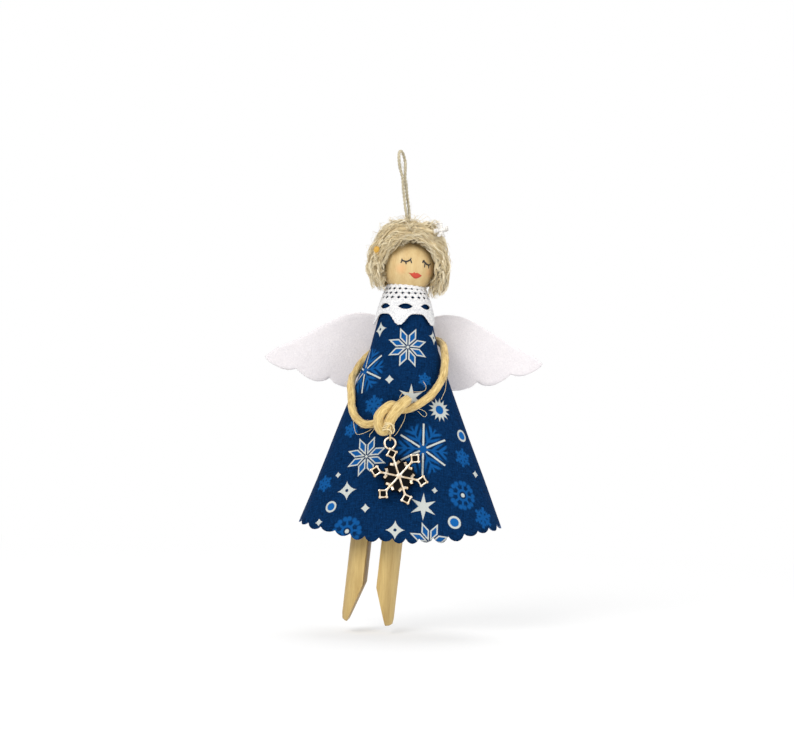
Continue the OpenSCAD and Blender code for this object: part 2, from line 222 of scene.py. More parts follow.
class Socket:
    """A shader value that takes part in Python expressions."""

    def __init__(self, nodes: "Nodes", output: bpy.types.NodeSocket) -> None:
        """Wraps an output of a node."""
        self.nodes = nodes
        self.output = output

    def math(self, operation: str, *others: "Number", clamp: bool = False) -> "Socket":
        """Adds one Math node that starts from this value."""
        return self.nodes.math(operation, self, *others, clamp=clamp)

    def __add__(self, other: "Number") -> "Socket":
        """Sum of two values."""
        return self.math("ADD", other)

    def __sub__(self, other: "Number") -> "Socket":
        """Difference of two values."""
        return self.math("SUBTRACT", other)

    def __rsub__(self, other: "Number") -> "Socket":
        """Difference from a number on the left."""
        return self.nodes.math("SUBTRACT", other, self)

    def __mul__(self, other: "Number") -> "Socket":
        """Product of two values."""
        return self.math("MULTIPLY", other)

    def __pow__(self, other: "Number") -> "Socket":
        """Power of a value."""
        return self.math("POWER", other)

    def __abs__(self) -> "Socket":
        """Size of a value without its sign."""
        return self.math("ABSOLUTE")

    __radd__ = __add__
    __rmul__ = __mul__

    def least(self, other: "Number") -> "Socket":
        """Smaller of two values."""
        return self.math("MINIMUM", other)

    def most(self, other: "Number") -> "Socket":
        """Larger of two values."""
        return self.math("MAXIMUM", other)

    def over(self, edge: float, soft: float) -> "Socket":
        """Mask that rises from 0 to 1 where the value passes an edge, over a soft width."""
        return self.math("MULTIPLY_ADD", 1.0 / soft, 0.5 - edge / soft, clamp=True)

    def under(self, edge: float, soft: float) -> "Socket":
        """Mask that falls from 1 to 0 where the value passes an edge, over a soft width."""
        return self.math("MULTIPLY_ADD", -1.0 / soft, 0.5 + edge / soft, clamp=True)


Number = Union[float, Socket]
Feed = Union[float, Sequence[float], Socket, bpy.types.NodeSocket]
Settings = Optional[dict[str, object]]
Inputs = Optional[dict[Union[int, str], Feed]]
Masks = tuple[Socket, Socket]


class Nodes:
    """Node tree of a finish or of the surround."""

    def __init__(self, tree: bpy.types.NodeTree) -> None:
        """Starts from an empty tree."""
        self.tree = tree
        tree.nodes.clear()

    def node(self, kind: str, settings: Settings = None, inputs: Inputs = None) -> bpy.types.Node:
        """Adds a node.

        Args:
            kind: Type name of the node.
            settings: Properties that are set first.
            inputs: Values or links of its sockets.

        Returns:
            The node.
        """
        made = self.tree.nodes.new(kind)
        for name, value in (settings or {}).items():
            setattr(made, name, value)
        for key, value in (inputs or {}).items():
            self.feed(made.inputs[key], value)
        return made

    def read(
        self, kind: str, settings: Settings = None, inputs: Inputs = None, output: Union[int, str] = 0
    ) -> Socket:
        """Adds a node and wraps one of its outputs."""
        return Socket(self, self.node(kind, settings, inputs).outputs[output])

    def feed(self, socket: bpy.types.NodeSocket, value: Feed) -> None:
        """Links a value to a socket, or writes it there.

        Args:
            socket: The socket.
            value: Its value or link.
        """
        if isinstance(value, (Socket, bpy.types.NodeSocket)):
            self.tree.links.new(value.output if isinstance(value, Socket) else value, socket)
        else:
            socket.default_value = value

    def math(self, operation: str, *values: Number, clamp: bool = False) -> Socket:
        """Adds a Math node, with its result kept from 0 to 1 where clamp is set."""
        settings = {"operation": operation, "use_clamp": clamp}
        return self.read("ShaderNodeMath", settings, dict(enumerate(values)))

    def vector(self, operation: str, *values: Feed, output: int = 0) -> Socket:
        """Adds a Vector Math node; output 1 is its number."""
        return self.read("ShaderNodeVectorMath", {"operation": operation}, dict(enumerate(values)), output)

    def span(self, operation: str, *values: Feed) -> Socket:
        """Adds a Vector Math node that gives a number."""
        return self.vector(operation, *values, output=1)

    def scaled(self, vector: Feed, factor: Number) -> Socket:
        """Scales a vector by a value."""
        return self.read("ShaderNodeVectorMath", {"operation": "SCALE"}, {0: vector, "Scale": factor})

    def parts(self, vector: Feed) -> tuple[Socket, Socket, Socket]:
        """Splits a vector into its three values."""
        made = self.node("ShaderNodeSeparateXYZ", inputs={0: vector})
        return Socket(self, made.outputs[0]), Socket(self, made.outputs[1]), Socket(self, made.outputs[2])

    def joined(self, x: Number, y: Number) -> Socket:
        """Joins two values into a level vector."""
        return self.read("ShaderNodeCombineXYZ", inputs={0: x, 1: y})

    def place(self, turn: Place = (0, 0, 0), stretch: Place = (1, 1, 1)) -> Socket:
        """Gives the place on the piece in millimetres of the part's frame.

        Args:
            turn: Turn of the pattern about the three axes.
            stretch: Factors on the three axes after the turn.

        Returns:
            The place.
        """
        here = self.node("ShaderNodeTexCoord").outputs["Object"]
        scale = tuple(s / MM for s in stretch)
        return self.read("ShaderNodeMapping", inputs={"Vector": here, "Rotation": turn, "Scale": scale})

    def unwrapped(self, across: float, along: float) -> Socket:
        """Gives the place on the piece's own UV map, with a factor each way."""
        here = self.node("ShaderNodeUVMap", {"uv_map": "UVMap"}).outputs[0]
        return self.vector("MULTIPLY", here, (across, along, 0))

    def noise(self, where: Feed, scale: float, detail: float = 2, rough: float = 0.5) -> Socket:
        """Adds a noise from 0 to 1."""
        inputs = {"Vector": where, "Scale": scale, "Detail": detail, "Roughness": rough}
        return self.read("ShaderNodeTexNoise", inputs=inputs)

    def mix(self, factor: Number, first: Feed, second: Feed) -> Socket:
        """Mixes two colours."""
        settings = {"data_type": "RGBA", "blend_type": "MIX", "clamp_factor": True}
        return self.read("ShaderNodeMix", settings, {0: factor, 6: first, 7: second}, 2)

    def bump(self, height: Number, strength: float, depth: float) -> Socket:
        """Raises the surface by a height; depth is in millimetres."""
        inputs = {"Strength": strength, "Distance": depth * MM, "Height": height}
        return self.read("ShaderNodeBump", inputs=inputs)

    def seen(self) -> Socket:
        """Gives 1 on rays from the eye, a gloss or a glass, and 0 on rays that light the object.

        Returns:
            The mask.
        """
        path = self.node("ShaderNodeLightPath")
        names = ("Is Camera Ray", "Is Glossy Ray", "Is Transmission Ray")
        eye, gloss, glass = (Socket(self, path.outputs[name]) for name in names)
        return eye.most(gloss).most(glass)


class Shader(Nodes):
    """Node tree of a material with one Principled surface."""

    def __init__(self, name: str) -> None:
        """Starts the material.

        Args:
            name: Name of the material.
        """
        self.material = bpy.data.materials.new(name)
        self.material.use_nodes = True
        super().__init__(self.material.node_tree)
        self.surface = self.node("ShaderNodeBsdfPrincipled")
        self.output = self.node("ShaderNodeOutputMaterial", inputs={"Surface": self.surface.outputs[0]})

    def set(self, **values: Feed) -> None:
        """Feeds the surface's sockets, named with _ for a space."""
        for name, value in values.items():
            self.feed(self.surface.inputs[name.replace("_", " ")], value)


class Sketch:
    """Points, faces and tones of a soft piece, gathered before they become a mesh."""

    def __init__(self) -> None:
        """Starts an empty sketch."""
        self.points: list[Vector] = []
        self.tones: list[float] = []
        self.faces: list[tuple[int, ...]] = []
        self.corners: list[Flat] = []
        self.slots: list[int] = []

    def add(self, point: Vector, tone: float = 0) -> int:
        """Adds a point.

        Args:
            point: Its place.
            tone: Its shade from 0 to 1.

        Returns:
            Its number.
        """
        self.points.append(point)
        self.tones.append(tone)
        return len(self.points) - 1

    def face(self, ids: Sequence[int], uvs: Optional[Sequence[Flat]] = None, slot: int = 0) -> None:
        """Adds a face.

        Args:
            ids: Its points in order.
            uvs: Its corners on the UV map.
            slot: Its material slot.
        """
        self.faces.append(tuple(ids))
        self.corners.extend(uvs or [(0, 0)] * len(ids))
        self.slots.append(slot)

    def grid(
        self,
        lines: Sequence[Sequence[int]],
        flat: Optional[Sequence[Sequence[Flat]]] = None,
        around: bool = False,
        slot: int = 0,
    ) -> None:
        """Spans faces between neighbouring lines of points.

        Args:
            lines: Points of each line.
            flat: Place of each point on the UV map, with one more in a line that closes.
            around: Whether each line closes.
            slot: Material slot of the faces.
        """
        count = len(lines[0])
        for i in range(len(lines) - 1):
            a, b = lines[i], lines[i + 1]
            for s in range(count if around else count - 1):
                k = (s + 1) % count
                uvs = flat and (flat[i][s], flat[i][s + 1], flat[i + 1][s + 1], flat[i + 1][s])
                self.face((a[s], a[k], b[k], b[s]), uvs, slot)

    def loft(self, rings: Sequence[Sequence[int]], runs: Sequence[float], slot: int = 0) -> None:
        """Closes rings of points into a tube with two ends.

        Args:
            rings: Points of each ring.
            runs: Length along the tube at each ring.
            slot: Material slot of the faces.
        """
        sides = len(rings[0])
        flat = [[(run, s / sides) for s in range(sides + 1)] for run in runs]
        self.grid(rings, flat, True, slot)
        self.face(rings[0][::-1], slot=slot)
        self.face(rings[-1], slot=slot)

    def tube(
        self,
        path: Line,
        radii: Sequence[float],
        sides: int,
        tone: float = 0,
        shape: Optional[Callable[[float, float], float]] = None,
        slot: int = 0,
    ) -> None:
        """Adds a closed tube along a line.

        Args:
            path: Points of its middle line.
            radii: Its radius at each point.
            sides: Number of its sides.
            tone: Tone of its points.
            shape: Factor on the radius from the length so far and the angle round the tube.
            slot: Its material slot.
        """
        runs = runs_of(path)
        angles = turns_of(sides)
        rings: list[list[int]] = []
        for centre, frame, radius, run in zip(path, carried_frames(path), radii, runs):
            reach = [radius * (shape(run, a) if shape else 1) for a in angles]
            rings.append([self.add(centre + towards(frame, a) * r, tone) for a, r in zip(angles, reach)])
        self.loft(rings, runs, slot)

    def ring(self, path: Line, out: Line, wide: float, thick: float) -> None:
        """Adds an endless six-sided thread along a closed line.

        Args:
            path: Points of the line, the last next to the first.
            out: Direction away from the surface under each point.
            wide: Half width of the thread along the surface.
            thick: Half thickness of the thread.
        """
        rings: list[list[int]] = []
        for i, (point, up) in enumerate(zip(path, out)):
            across = (path[(i + 1) % len(path)] - path[i - 1]).normalized().cross(up).normalized()
            frame = (across * wide, up * thick)
            rings.append([self.add(point + towards(frame, a)) for a in turns_of(6)])
        self.grid(rings + rings[:1], around=True)

    def piece(self, name: str, *finishes: Material) -> Piece:
        """Makes the piece in the part's frame.

        Args:
            name: Name of the piece.
            finishes: Its materials in the order of the slots.

        Returns:
            The new object.
        """
        mesh = bpy.data.meshes.new(name)
        mesh.from_pydata([placed(p) for p in self.points], [], self.faces)
        layer = mesh.uv_layers.new(name="UVMap")
        layer.data.foreach_set("uv", [x for corner in self.corners for x in corner])
        tone = mesh.attributes.new("tone", "FLOAT", "POINT")
        tone.data.foreach_set("value", self.tones)
        for finish in finishes:
            mesh.materials.append(finish)
        mesh.polygons.foreach_set("material_index", self.slots)
        mesh.polygons.foreach_set("use_smooth", [True] * len(mesh.polygons))
        mesh.update()
        made = bpy.data.objects.new(name, mesh)
        bpy.context.scene.collection.objects.link(made)
        return made


class Bench:
    """Operators of the modelling bench, used one piece at a time."""

    @staticmethod
    def hold(*pieces: Piece) -> None:
        """Leaves edit mode and selects pieces alone, the first one active.

        Args:
            pieces: The pieces; without any, nothing stays selected.
        """
        if bpy.context.object and bpy.context.object.mode != "OBJECT":
            bpy.ops.object.mode_set(mode="OBJECT")
        bpy.ops.object.select_all(action="DESELECT")
        for piece in pieces:
            piece.select_set(True)
        if pieces:
            bpy.context.view_layer.objects.active = pieces[0]

    @staticmethod
    def start(add: Callable[..., object], where: Optional[Matrix] = None, **sizes: object) -> Piece:
        """Adds a primitive alone to start a piece from.

        Args:
            add: Operator that adds it.
            where: Its place and stretch.
            sizes: Settings of the operator.

        Returns:
            The piece.
        """
        Bench.hold()
        add(**sizes)
        made = bpy.context.object
        if where is not None:
            made.data.transform(where)
        return made

    @staticmethod
    def pick(piece: Piece, chosen: Callable[[bpy.types.MeshPolygon], bool]) -> None:
        """Enters edit mode with the faces selected that a test chooses.

        Args:
            piece: The piece.
            chosen: The test of a face.
        """
        Bench.hold(piece)
        bpy.ops.object.mode_set(mode="EDIT")
        bpy.ops.mesh.select_mode(type="FACE")
        bpy.ops.mesh.select_all(action="DESELECT")
        bpy.ops.object.mode_set(mode="OBJECT")
        for polygon in piece.data.polygons:
            polygon.select = chosen(polygon)
        bpy.ops.object.mode_set(mode="EDIT")

    @staticmethod
    def mend(piece: Piece, merge: float = 0) -> None:
        """Merges doubles and turns all faces outwards.

        Args:
            piece: The piece.
            merge: Distance of points that are merged, 0 to merge none.
        """
        Bench.pick(piece, lambda polygon: True)
        if merge:
            bpy.ops.mesh.remove_doubles(threshold=merge)
        bpy.ops.mesh.normals_make_consistent(inside=False)
        bpy.ops.object.mode_set(mode="OBJECT")

    @staticmethod
    def grow(piece: Piece, levels: Sequence[Flat], deep: bool) -> None:
        """Extrudes a flat start upwards level by level.

        Args:
            piece: The piece, a face at the first level.
            levels: Size and height of each level.
            deep: Whether the depth changes with the width.
        """
        Bench.pick(piece, lambda polygon: True)
        for (w0, z0), (w1, z1) in zip(levels, levels[1:]):
            size = w1 / w0
            grown = (size, size if deep else 1, 1)
            bpy.ops.mesh.extrude_region_move(TRANSFORM_OT_translate={"value": (0, 0, z1 - z0)})
            bpy.ops.transform.resize(value=grown, center_override=(0, 0, z1))
        Bench.mend(piece)

    @staticmethod
    def apply(piece: Piece, kind: str, **settings: object) -> None:
        """Adds a modifier, sets it and applies it.

        Args:
            piece: The piece.
            kind: Type name of the modifier.
            settings: Its settings.
        """
        Bench.hold(piece)
        made = piece.modifiers.new(kind.title(), kind)
        for name, value in settings.items():
            setattr(made, name, value)
        bpy.ops.object.modifier_apply(modifier=made.name)

    @staticmethod
    def copy(piece: Piece, where: Matrix) -> Piece:
        """Copies a piece with a mesh of its own to another place.

        Args:
            piece: The piece.
            where: Its move.

        Returns:
            The copy.
        """
        made = piece.copy()
        made.data = piece.data.copy()
        made.data.transform(where)
        bpy.context.scene.collection.objects.link(made)
        return made

    @staticmethod
    def join(pieces: Sequence[Piece], name: str) -> Piece:
        """Joins pieces into one and names it.

        Args:
            pieces: The pieces.
            name: Name of the whole.

        Returns:
            The whole.
        """
        Bench.hold(*pieces)
        if len(pieces) > 1:
            bpy.ops.object.join()
        pieces[0].name = name
        pieces[0].data.name = name
        return pieces[0]

    @staticmethod
    def seat(piece: Piece, where: Matrix, finish: Material, angle: float) -> None:
        """Puts a piece that was built at the datum in its place, in its mesh, smooths it and finishes it.

        Args:
            piece: The piece, in millimetres.
            where: Its place from the neck datum.
            finish: Its material.
            angle: Sharpest angle in degrees that is smoothed.
        """
        Bench.hold(piece)
        piece.data.transform(Matrix.Scale(MM, 4) @ moved(-HOOK) @ where)
        piece.data.materials.clear()
        piece.data.materials.append(finish)
        bpy.ops.object.shade_smooth_by_angle(angle=radians(angle))


@dataclass(frozen=True)
class Finish:
    """A finish, which makes the material of its name."""

    name: str

    def paint(self, shader: Shader) -> None:
        """Paints the shader, each finish in its own way."""
        raise NotImplementedError(self.name)

    def material(self) -> Material:
        """Makes the material.

        Returns:
            The painted material.
        """
        shader = Shader(self.name)
        self.paint(shader)
        return shader.material


@dataclass(frozen=True)
class BeechFinish(Finish):
    """Pale turned beech with fine grain, painted shade that darkens it towards the toes, and blush rubbed on
    the cheeks.
    """

    name: str = "turned_beech"
    pale: Colour = tint(204, 180, 131)
    line: Colour = tint(190, 158, 106)
    pore: Colour = tint(168, 128, 80)
    blush: Colour = tint(226, 142, 92)
    # painted shade of the lower legs: the darker colours, and the height and fade of the darkening towards
    # the toes
    toe_shade: Colour = tint(198, 171, 110)
    toe_shade_line: Colour = tint(166, 135, 77)
    toe_shade_z: float = -90.0
    toe_shade_fade: float = 30.0
    cheeks: Places = ((-1.7, -7.4, 5.2), (6.7, -4.5, 4.5))
    cheek_r: float = 1.2
    cheek_fade: float = 1.7
    lean: Place = (0, -PEG_LEAN, 0)

    def paint(self, wood: Shader) -> None:
        """Lays grain, pores, blush and the painted shade towards the toes.

        Args:
            wood: Shader of the wood.
        """
        across, _, _ = wood.parts(wood.place(self.lean))
        wander = wood.noise(wood.place(self.lean, (0.16, 0.16, 0.02)), 1, 3)
        bands = (across * 2.1 + wander * 9).math("SINE") * 0.5 + 0.5
        streak = wood.noise(wood.place(self.lean, (2.6, 2.6, 0.09)), 1, 4, 0.6)
        pores = wood.noise(wood.place(self.lean, (5.5, 5.5, 0.42)), 1, 1).over(0.69, 0.06)
        here = wood.place()
        _, _, height = wood.parts(here)
        # painted shade: below a height the wood is mixed towards darker colours, as the lower legs fall in
        # shade
        low = height.under(self.toe_shade_z, self.toe_shade_fade) * 0.95
        pale = wood.mix(low, self.pale, self.toe_shade)
        line = wood.mix(low, self.line, self.toe_shade_line)
        grain = wood.mix(bands * 0.35 + streak.over(0.52, 0.3) * 0.5, pale, line)
        grain = wood.mix(pores * 0.55, grain, self.pore)
        for cheek in self.cheeks:
            near = wood.span("DISTANCE", here, tuple(Vector(cheek) - HOOK))
            grain = wood.mix(near.under(self.cheek_r, self.cheek_fade) * 0.3, grain, self.blush)
        wood.set(Base_Color=grain, Roughness=streak * 0.2 + 0.46, Specular_IOR_Level=0.35)
        wood.set(Normal=wood.bump(streak * 0.6 - pores * 0.8, 0.35, 0.12))


class Motif(Enum):
    """Traditional winter motifs of the cotton print, each named as the method that draws it."""

    PETAL_STAR = "petal_star"
    LINE_FLAKE = "line_flake"
    SPARKLE = "sparkle"
    DIAMOND = "diamond"
    SIX_STAR = "six_star"
    SUN = "sun"
    RING = "ring"
    SHADE_FLAKE = "shade_flake"
    BLOSSOM = "blossom"


# X and z of each motif's middle on the front of the dress, and its radius.
PRINT_LAYOUT: dict[Motif, Places] = {
    Motif.PETAL_STAR: ((1, -17.1, 6.6), (-9.9, -48.4, 6.6), (8.6, -72, 6.6)),
    Motif.LINE_FLAKE: ((-11, -24.2, 7.2), (6.1, -45.9, 7.9)),
    Motif.SPARKLE: ((-15.2, -58.2, 2.9), (-1.2, -68.7, 2.9), (-7, -12.2, 2.5), (8.3, -14.2, 2.4)),
    Motif.DIAMOND: (
        (-4, -26.4, 1.4), (-9.8, -62.9, 1.4), (9.7, -57.4, 1),
        (-17.8, -54, 1), (-22.9, -67.6, 1.2), (21.4, -52.9, 1.2)),
    Motif.SIX_STAR: ((2.3, -31.3, 3.9), (6.6, -62, 4)),
    Motif.SUN: ((10.6, -34.7, 3.4),),
    Motif.RING: ((17.2, -42, 1.8), (-19.6, -63, 1.7), (15.5, -66.3, 1.9)),
    Motif.SHADE_FLAKE: (
        (6.1, -26.3, 2.3), (17.6, -48.2, 3), (-21.6, -56.7, 2.7),
        (24, -65.1, 3.4), (-8.2, -33.8, 3.2), (-14.5, -41, 2.6)),
    Motif.BLOSSOM: ((17.6, -58.7, 4.5), (-14.9, -69.6, 4.6)),
}
# Place of each motif's middle on the flat cloth of the sides and back, and its radius.
SIDE_LAYOUT: dict[Motif, Places] = {
    Motif.PETAL_STAR: ((26, 46, 6.6),),
    Motif.LINE_FLAKE: ((-26.5, 40.5, 6),),
    Motif.SPARKLE: ((21, 55.5, 2.6), (18.5, 63, 2.4), (-19.5, 60.5, 2.4)),
    Motif.DIAMOND: ((28.5, 56.5, 1.3), (24.5, 36.5, 1.2), (-31, 34, 1.2), (-24.5, 60, 1.1)),
    Motif.SIX_STAR: ((-27, 54, 3.6),),
    Motif.SUN: ((29, 29, 3.3),),
    Motif.RING: ((30.8, 22.4, 1.7), (-30.8, 18.6, 1.6)),
    Motif.SHADE_FLAKE: ((29.5, 36.5, 2.9), (-20.5, 52.5, 2.6)),
    Motif.BLOSSOM: ((-28.7, 26.5, 3.8),),
}


@dataclass(frozen=True)
class DressCut:
    """Shape of the dress, a cone of cotton that flares below the bodice."""

    top: float = 0.05
    shoulder_z: float = -3.0
    bodice_z: float = -18.0
    hem_z: float = -67.6
    neck_r: float = 5.2
    shoulder_r: float = 6.3
    bodice_half: Flat = (9.9, 9)
    hem_half: Flat = (28.95, 14.5)
    dip: float = 4.3
    tooth: float = 1.6
    teeth: int = 34
    flat_reach: float = 88.4
    flat_stretch: float = 1.03
    repeat: float = 66.0

    def half(self, z: float) -> Flat:
        """Gives the half width and half depth at a height.

        Args:
            z: The height.

        Returns:
            Half the width and half the depth.
        """
        levels = (
            (self.top, self.neck_r, self.neck_r),
            (self.shoulder_z, self.shoulder_r, self.shoulder_r),
            (self.bodice_z, *self.bodice_half),
            (self.hem_z, *self.hem_half),
        )
        i = 1 if z > self.shoulder_z else 2 if z > self.bodice_z else 3
        (z0, wide0, deep0), (z1, wide1, deep1) = levels[i - 1], levels[i]
        t = (z0 - z) / (z0 - z1)
        return wide0 + (wide1 - wide0) * t, deep0 + (deep1 - deep0) * t

    def arc(self, z: float, angle: float) -> float:
        """Gives the length along the hoop at a height, from the middle of the front to an angle.

        Args:
            z: The height.
            angle: The angle; -90 degrees is the middle of the front.

        Returns:
            The length.
        """
        wide, deep = self.half(z)
        steps = 40
        turn = angle + pi / 2
        run = 0.0
        for i in range(steps):
            a = -pi / 2 + turn * (i + 0.5) / steps
            run += math.hypot(wide * sin(a), deep * cos(a)) * turn / steps
        return run

    def unrolled(self, z: float, angle: float) -> Flat:
        """Gives the place on the flat cloth of a point of the dress.

        Args:
            z: Height of the point.
            angle: Angle of the point round the dress; -90 degrees is the middle of the front.

        Returns:
            Its place in millimetres, level with the middle of the front.
        """
        reach = self.flat_reach + (self.hem_z - z) * self.flat_stretch
        bend = self.arc(z, angle) / reach
        return reach * sin(bend), -reach * cos(bend) + self.flat_reach

    def oval(self) -> float:
        """Gives how far the hem is from a circle."""
        wide, deep = self.hem_half
        return (wide - deep) / (wide + deep)

    def front_angle(self, x: float, z: float) -> float:
        """Gives the angle of the front point that has a given x."""
        return -math.acos(max(-0.98, min(0.98, x / self.half(z)[0])))


@dataclass(frozen=True)
class Figure:
    """One motif, drawn in its own radii from its middle; a drawing gives a silver and a blue mask."""

    cotton: Shader
    local: Socket
    blue: float = 0.68

    def wedge(self, fold: float) -> tuple[Socket, Socket, Socket]:
        """Folds the place into one wedge of a star.

        Args:
            fold: Half angle of the wedge in degrees.

        Returns:
            The distance from the middle, and the place along and across the wedge's edge.
        """
        x, y, _ = self.cotton.parts(self.local)
        far = self.cotton.span("LENGTH", self.local)
        angle = self.cotton.math("ARCTAN2", x, y).math("PINGPONG", radians(fold))
        return far, far * angle.math("COSINE"), far * angle.math("SINE")

    def hollow(self, power: float, edge: float, soft: float) -> Socket:
        """Draws four points with hollow sides; a power of 1 makes them straight."""
        x, y, _ = self.cotton.parts(self.local)
        return (abs(x) ** power + abs(y) ** power).under(edge, soft)

    def petal_star(self) -> Masks:
        """Draws eight rhombic petals with pale outlines and blue hearts, and a pale dot.

        Returns:
            The two masks.
        """
        far, along, across = self.wedge(22.5)
        inset = across.least((0.541 - along + across) * 0.7071)
        rim = inset.over(0.03, 0.02) * inset.under(0.084, 0.02)
        dot = far.under(0.06, 0.02)
        return (rim + dot).least(1), inset.over(0.084, 0.02) * 0.7

    def line_flake(self) -> Masks:
        """Draws six straight pale arms with blue ferns between them.

        Returns:
            The two masks.
        """
        far, along, across = self.wedge(30)
        arm = across.under(0.032, 0.018) * along.over(0.14, 0.02) * along.under(0.95, 0.02)
        run = along * 0.866 + across * 0.5
        aside = along * 0.5 - across * 0.866
        leaves = ((run - aside * 1.1) * 23).math("SINE").over(-0.1, 0.9)
        leaves = leaves * (run * 0.5 - aside).over(0.02, 0.1)
        fern = leaves * aside.under(0.3, 0.12) * run.over(0.24, 0.08) * run.under(0.88, 0.1)
        stem = aside.under(0.03, 0.03) * run.under(0.9, 0.1)
        return arm, fern.most(far.under(0.13, 0.03)).most(stem) * self.blue

    def sparkle(self) -> Masks:
        """Draws four hollow-sided points round a dark dot."""
        star = self.hollow(0.66, 0.99, 0.06)
        return star * self.cotton.span("LENGTH", self.local).over(0.16, 0.05), star * 0.0

    def diamond(self) -> Masks:
        """Draws a small pale diamond with slightly hollow sides."""
        star = self.hollow(0.8, 0.96, 0.1)
        return star, star * 0.0

    def six_star(self) -> Masks:
        """Draws six slim pale points.

        Returns:
            The two masks.
        """
        far, along, across = self.wedge(30)
        star = (along * 0.235 + across * 0.972).under(0.235, 0.03)
        return star * far.under(1.02, 0.02), star * 0.0

    def sun(self) -> Masks:
        """Draws a pale ring with short rays round a blue heart.

        Returns:
            The two masks.
        """
        far, along, across = self.wedge(12.86)
        rays = (along * 0.3 + across * 0.95).under(0.3, 0.05) * far.over(0.5, 0.03)
        ring = far.over(0.37, 0.04) * far.under(0.62, 0.04)
        return (rays + ring).least(1), far.under(0.37, 0.04)

    def ring(self) -> Masks:
        """Draws a pale ring round a blue heart."""
        far = self.cotton.span("LENGTH", self.local)
        return far.over(0.66, 0.1) * far.under(0.97, 0.1), far.under(0.66, 0.1)

    def shade_flake(self) -> Masks:
        """Draws six blue arms with a pair of branches each.

        Returns:
            The two masks.
        """
        far, along, across = self.wedge(30)
        arm = across.under(0.13, 0.1) * along.under(0.93, 0.08)
        branch = abs((along - 0.42) * 0.866 - across * 0.5).under(0.1, 0.1) * across.under(0.3, 0.1)
        return far * 0, arm.most(branch * far.under(0.95, 0.1)) * self.blue

    def blossom(self) -> Masks:
        """Draws eight pairs of blue lobes round a blue ring with a pale dot.

        Returns:
            The two masks.
        """
        far, along, across = self.wedge(22.5)
        spot = self.cotton.joined(along, across)
        lobe = self.cotton.span("DISTANCE", spot, (0.78, 0.13, 0)).under(0.15, 0.1)
        stalk = across.under(0.07, 0.06) * along.over(0.3, 0.06) * along.under(0.8, 0.06)
        ring = far.over(0.24, 0.06) * far.under(0.4, 0.06)
        return far.under(0.13, 0.05), lobe.most(ring).most(stalk) * self.blue


@dataclass(frozen=True)
class CottonPrint(Finish):
    """Navy cotton printed with blue and silver-white winter motifs."""

    name: str = "printed_cotton"
    cut: DressCut = DressCut()
    navy: Colour = tint(7, 45, 86)
    deep: Colour = tint(2, 26, 54)
    blue: Colour = tint(22, 97, 169)
    silver: Colour = tint(205, 209, 202)
    thread_pitch: float = 0.42
    uv_scale: float = 100.0
    disc: float = 1.08
    bleed: float = 0.22

    def gather(self, cotton: Shader, where: Socket, motif: Motif) -> Masks:
        """Brings all places of one motif together, so that its shape is worked out once.

        Args:
            cotton: Shader of the cloth.
            where: Place on the flat cloth.
            motif: The motif.

        Returns:
            The place from the motif's middle in its radii, and the mask of its discs.
        """
        total: Optional[Socket] = None
        mask: Number = 0.0
        cut = self.cut
        spots = [(*cut.unrolled(z, cut.front_angle(x, z)), radius) for x, z, radius in PRINT_LAYOUT[motif]]
        for u, v, radius in (*spots, *SIDE_LAYOUT[motif]):
            size = (1.0 / radius,) * 3
            local = cotton.vector("MULTIPLY_ADD", where, size, (-u / radius, -v / radius, 0))
            inside = cotton.span("LENGTH", local).math("LESS_THAN", self.disc)
            part = cotton.scaled(local, inside)
            total = part if total is None else cotton.vector("ADD", total, part)
            mask = inside + mask
        return total, mask.least(1)

    def paint(self, cotton: Shader) -> None:
        """Prints the motifs on the woven ground.

        Args:
            cotton: Shader of the cloth.
        """
        flat = cotton.unwrapped(self.uv_scale, self.uv_scale)
        u, v, _ = cotton.parts(flat)
        bleed = (cotton.noise(flat, 3.4, 2) - 0.5) * self.bleed
        repeat = self.cut.repeat
        wrapped = (u + 1.5 * repeat).math("MODULO", repeat) - repeat / 2
        where = cotton.joined(wrapped + bleed, v + bleed)
        silver: Number = 0.0
        blue: Number = 0.0
        for motif in Motif:
            local, inside = self.gather(cotton, where, motif)
            pale, tonal = getattr(Figure(cotton, local), motif.value)()
            silver = pale * inside + silver
            blue = tonal * inside + blue
        threads = TURN / self.thread_pitch
        weave = (u * threads).math("SINE") * (v * threads).math("SINE") * 0.5 + 0.5
        slub = cotton.noise(cotton.vector("MULTIPLY", flat, (2.4, 0.5, 0)), 1, 3, 0.6) * 0.5
        slub = slub + cotton.noise(cotton.vector("MULTIPLY", flat, (0.5, 2.4, 0)), 1, 3, 0.6) * 0.5
        speck = cotton.noise(flat, 2.6, 2, 0.7)
        ground = cotton.mix(slub.over(0.49, 0.24), self.deep, self.navy)
        ground = cotton.mix(speck.over(0.64, 0.14) * 0.26, ground, self.blue)
        silver = silver.least(1)
        ground = cotton.mix(blue.least(1) * (0.62 + slub * 0.5).least(1), ground, self.blue)
        ground = cotton.mix(silver * (0.72 + weave * 0.28), ground, self.silver)
        ground = cotton.mix((1.0 - weave) * 0.22, ground, self.deep)
        cotton.set(Base_Color=ground, Roughness=0.88 - silver * 0.22, Specular_IOR_Level=0.04)
        cotton.set(Normal=cotton.bump(weave * 0.6 + slub * 0.8, 0.4, 0.1))


@dataclass(frozen=True)
class ReverseFinish(Finish):
    """Unprinted back of the cotton."""

    name: str = "cotton_reverse"
    dark: Colour = tint(52, 78, 122)
    light: Colour = tint(92, 116, 154)

    def paint(self, back: Shader) -> None:
        """Specks the cloth.

        Args:
            back: Shader of the cloth's back.
        """
        speck = back.noise(back.place(), 2.2, 3, 0.7)
        back.set(Base_Color=back.mix(speck, self.dark, self.light), Roughness=0.9)
        back.set(Normal=back.bump(speck, 0.4, 0.1), Specular_IOR_Level=0.2)


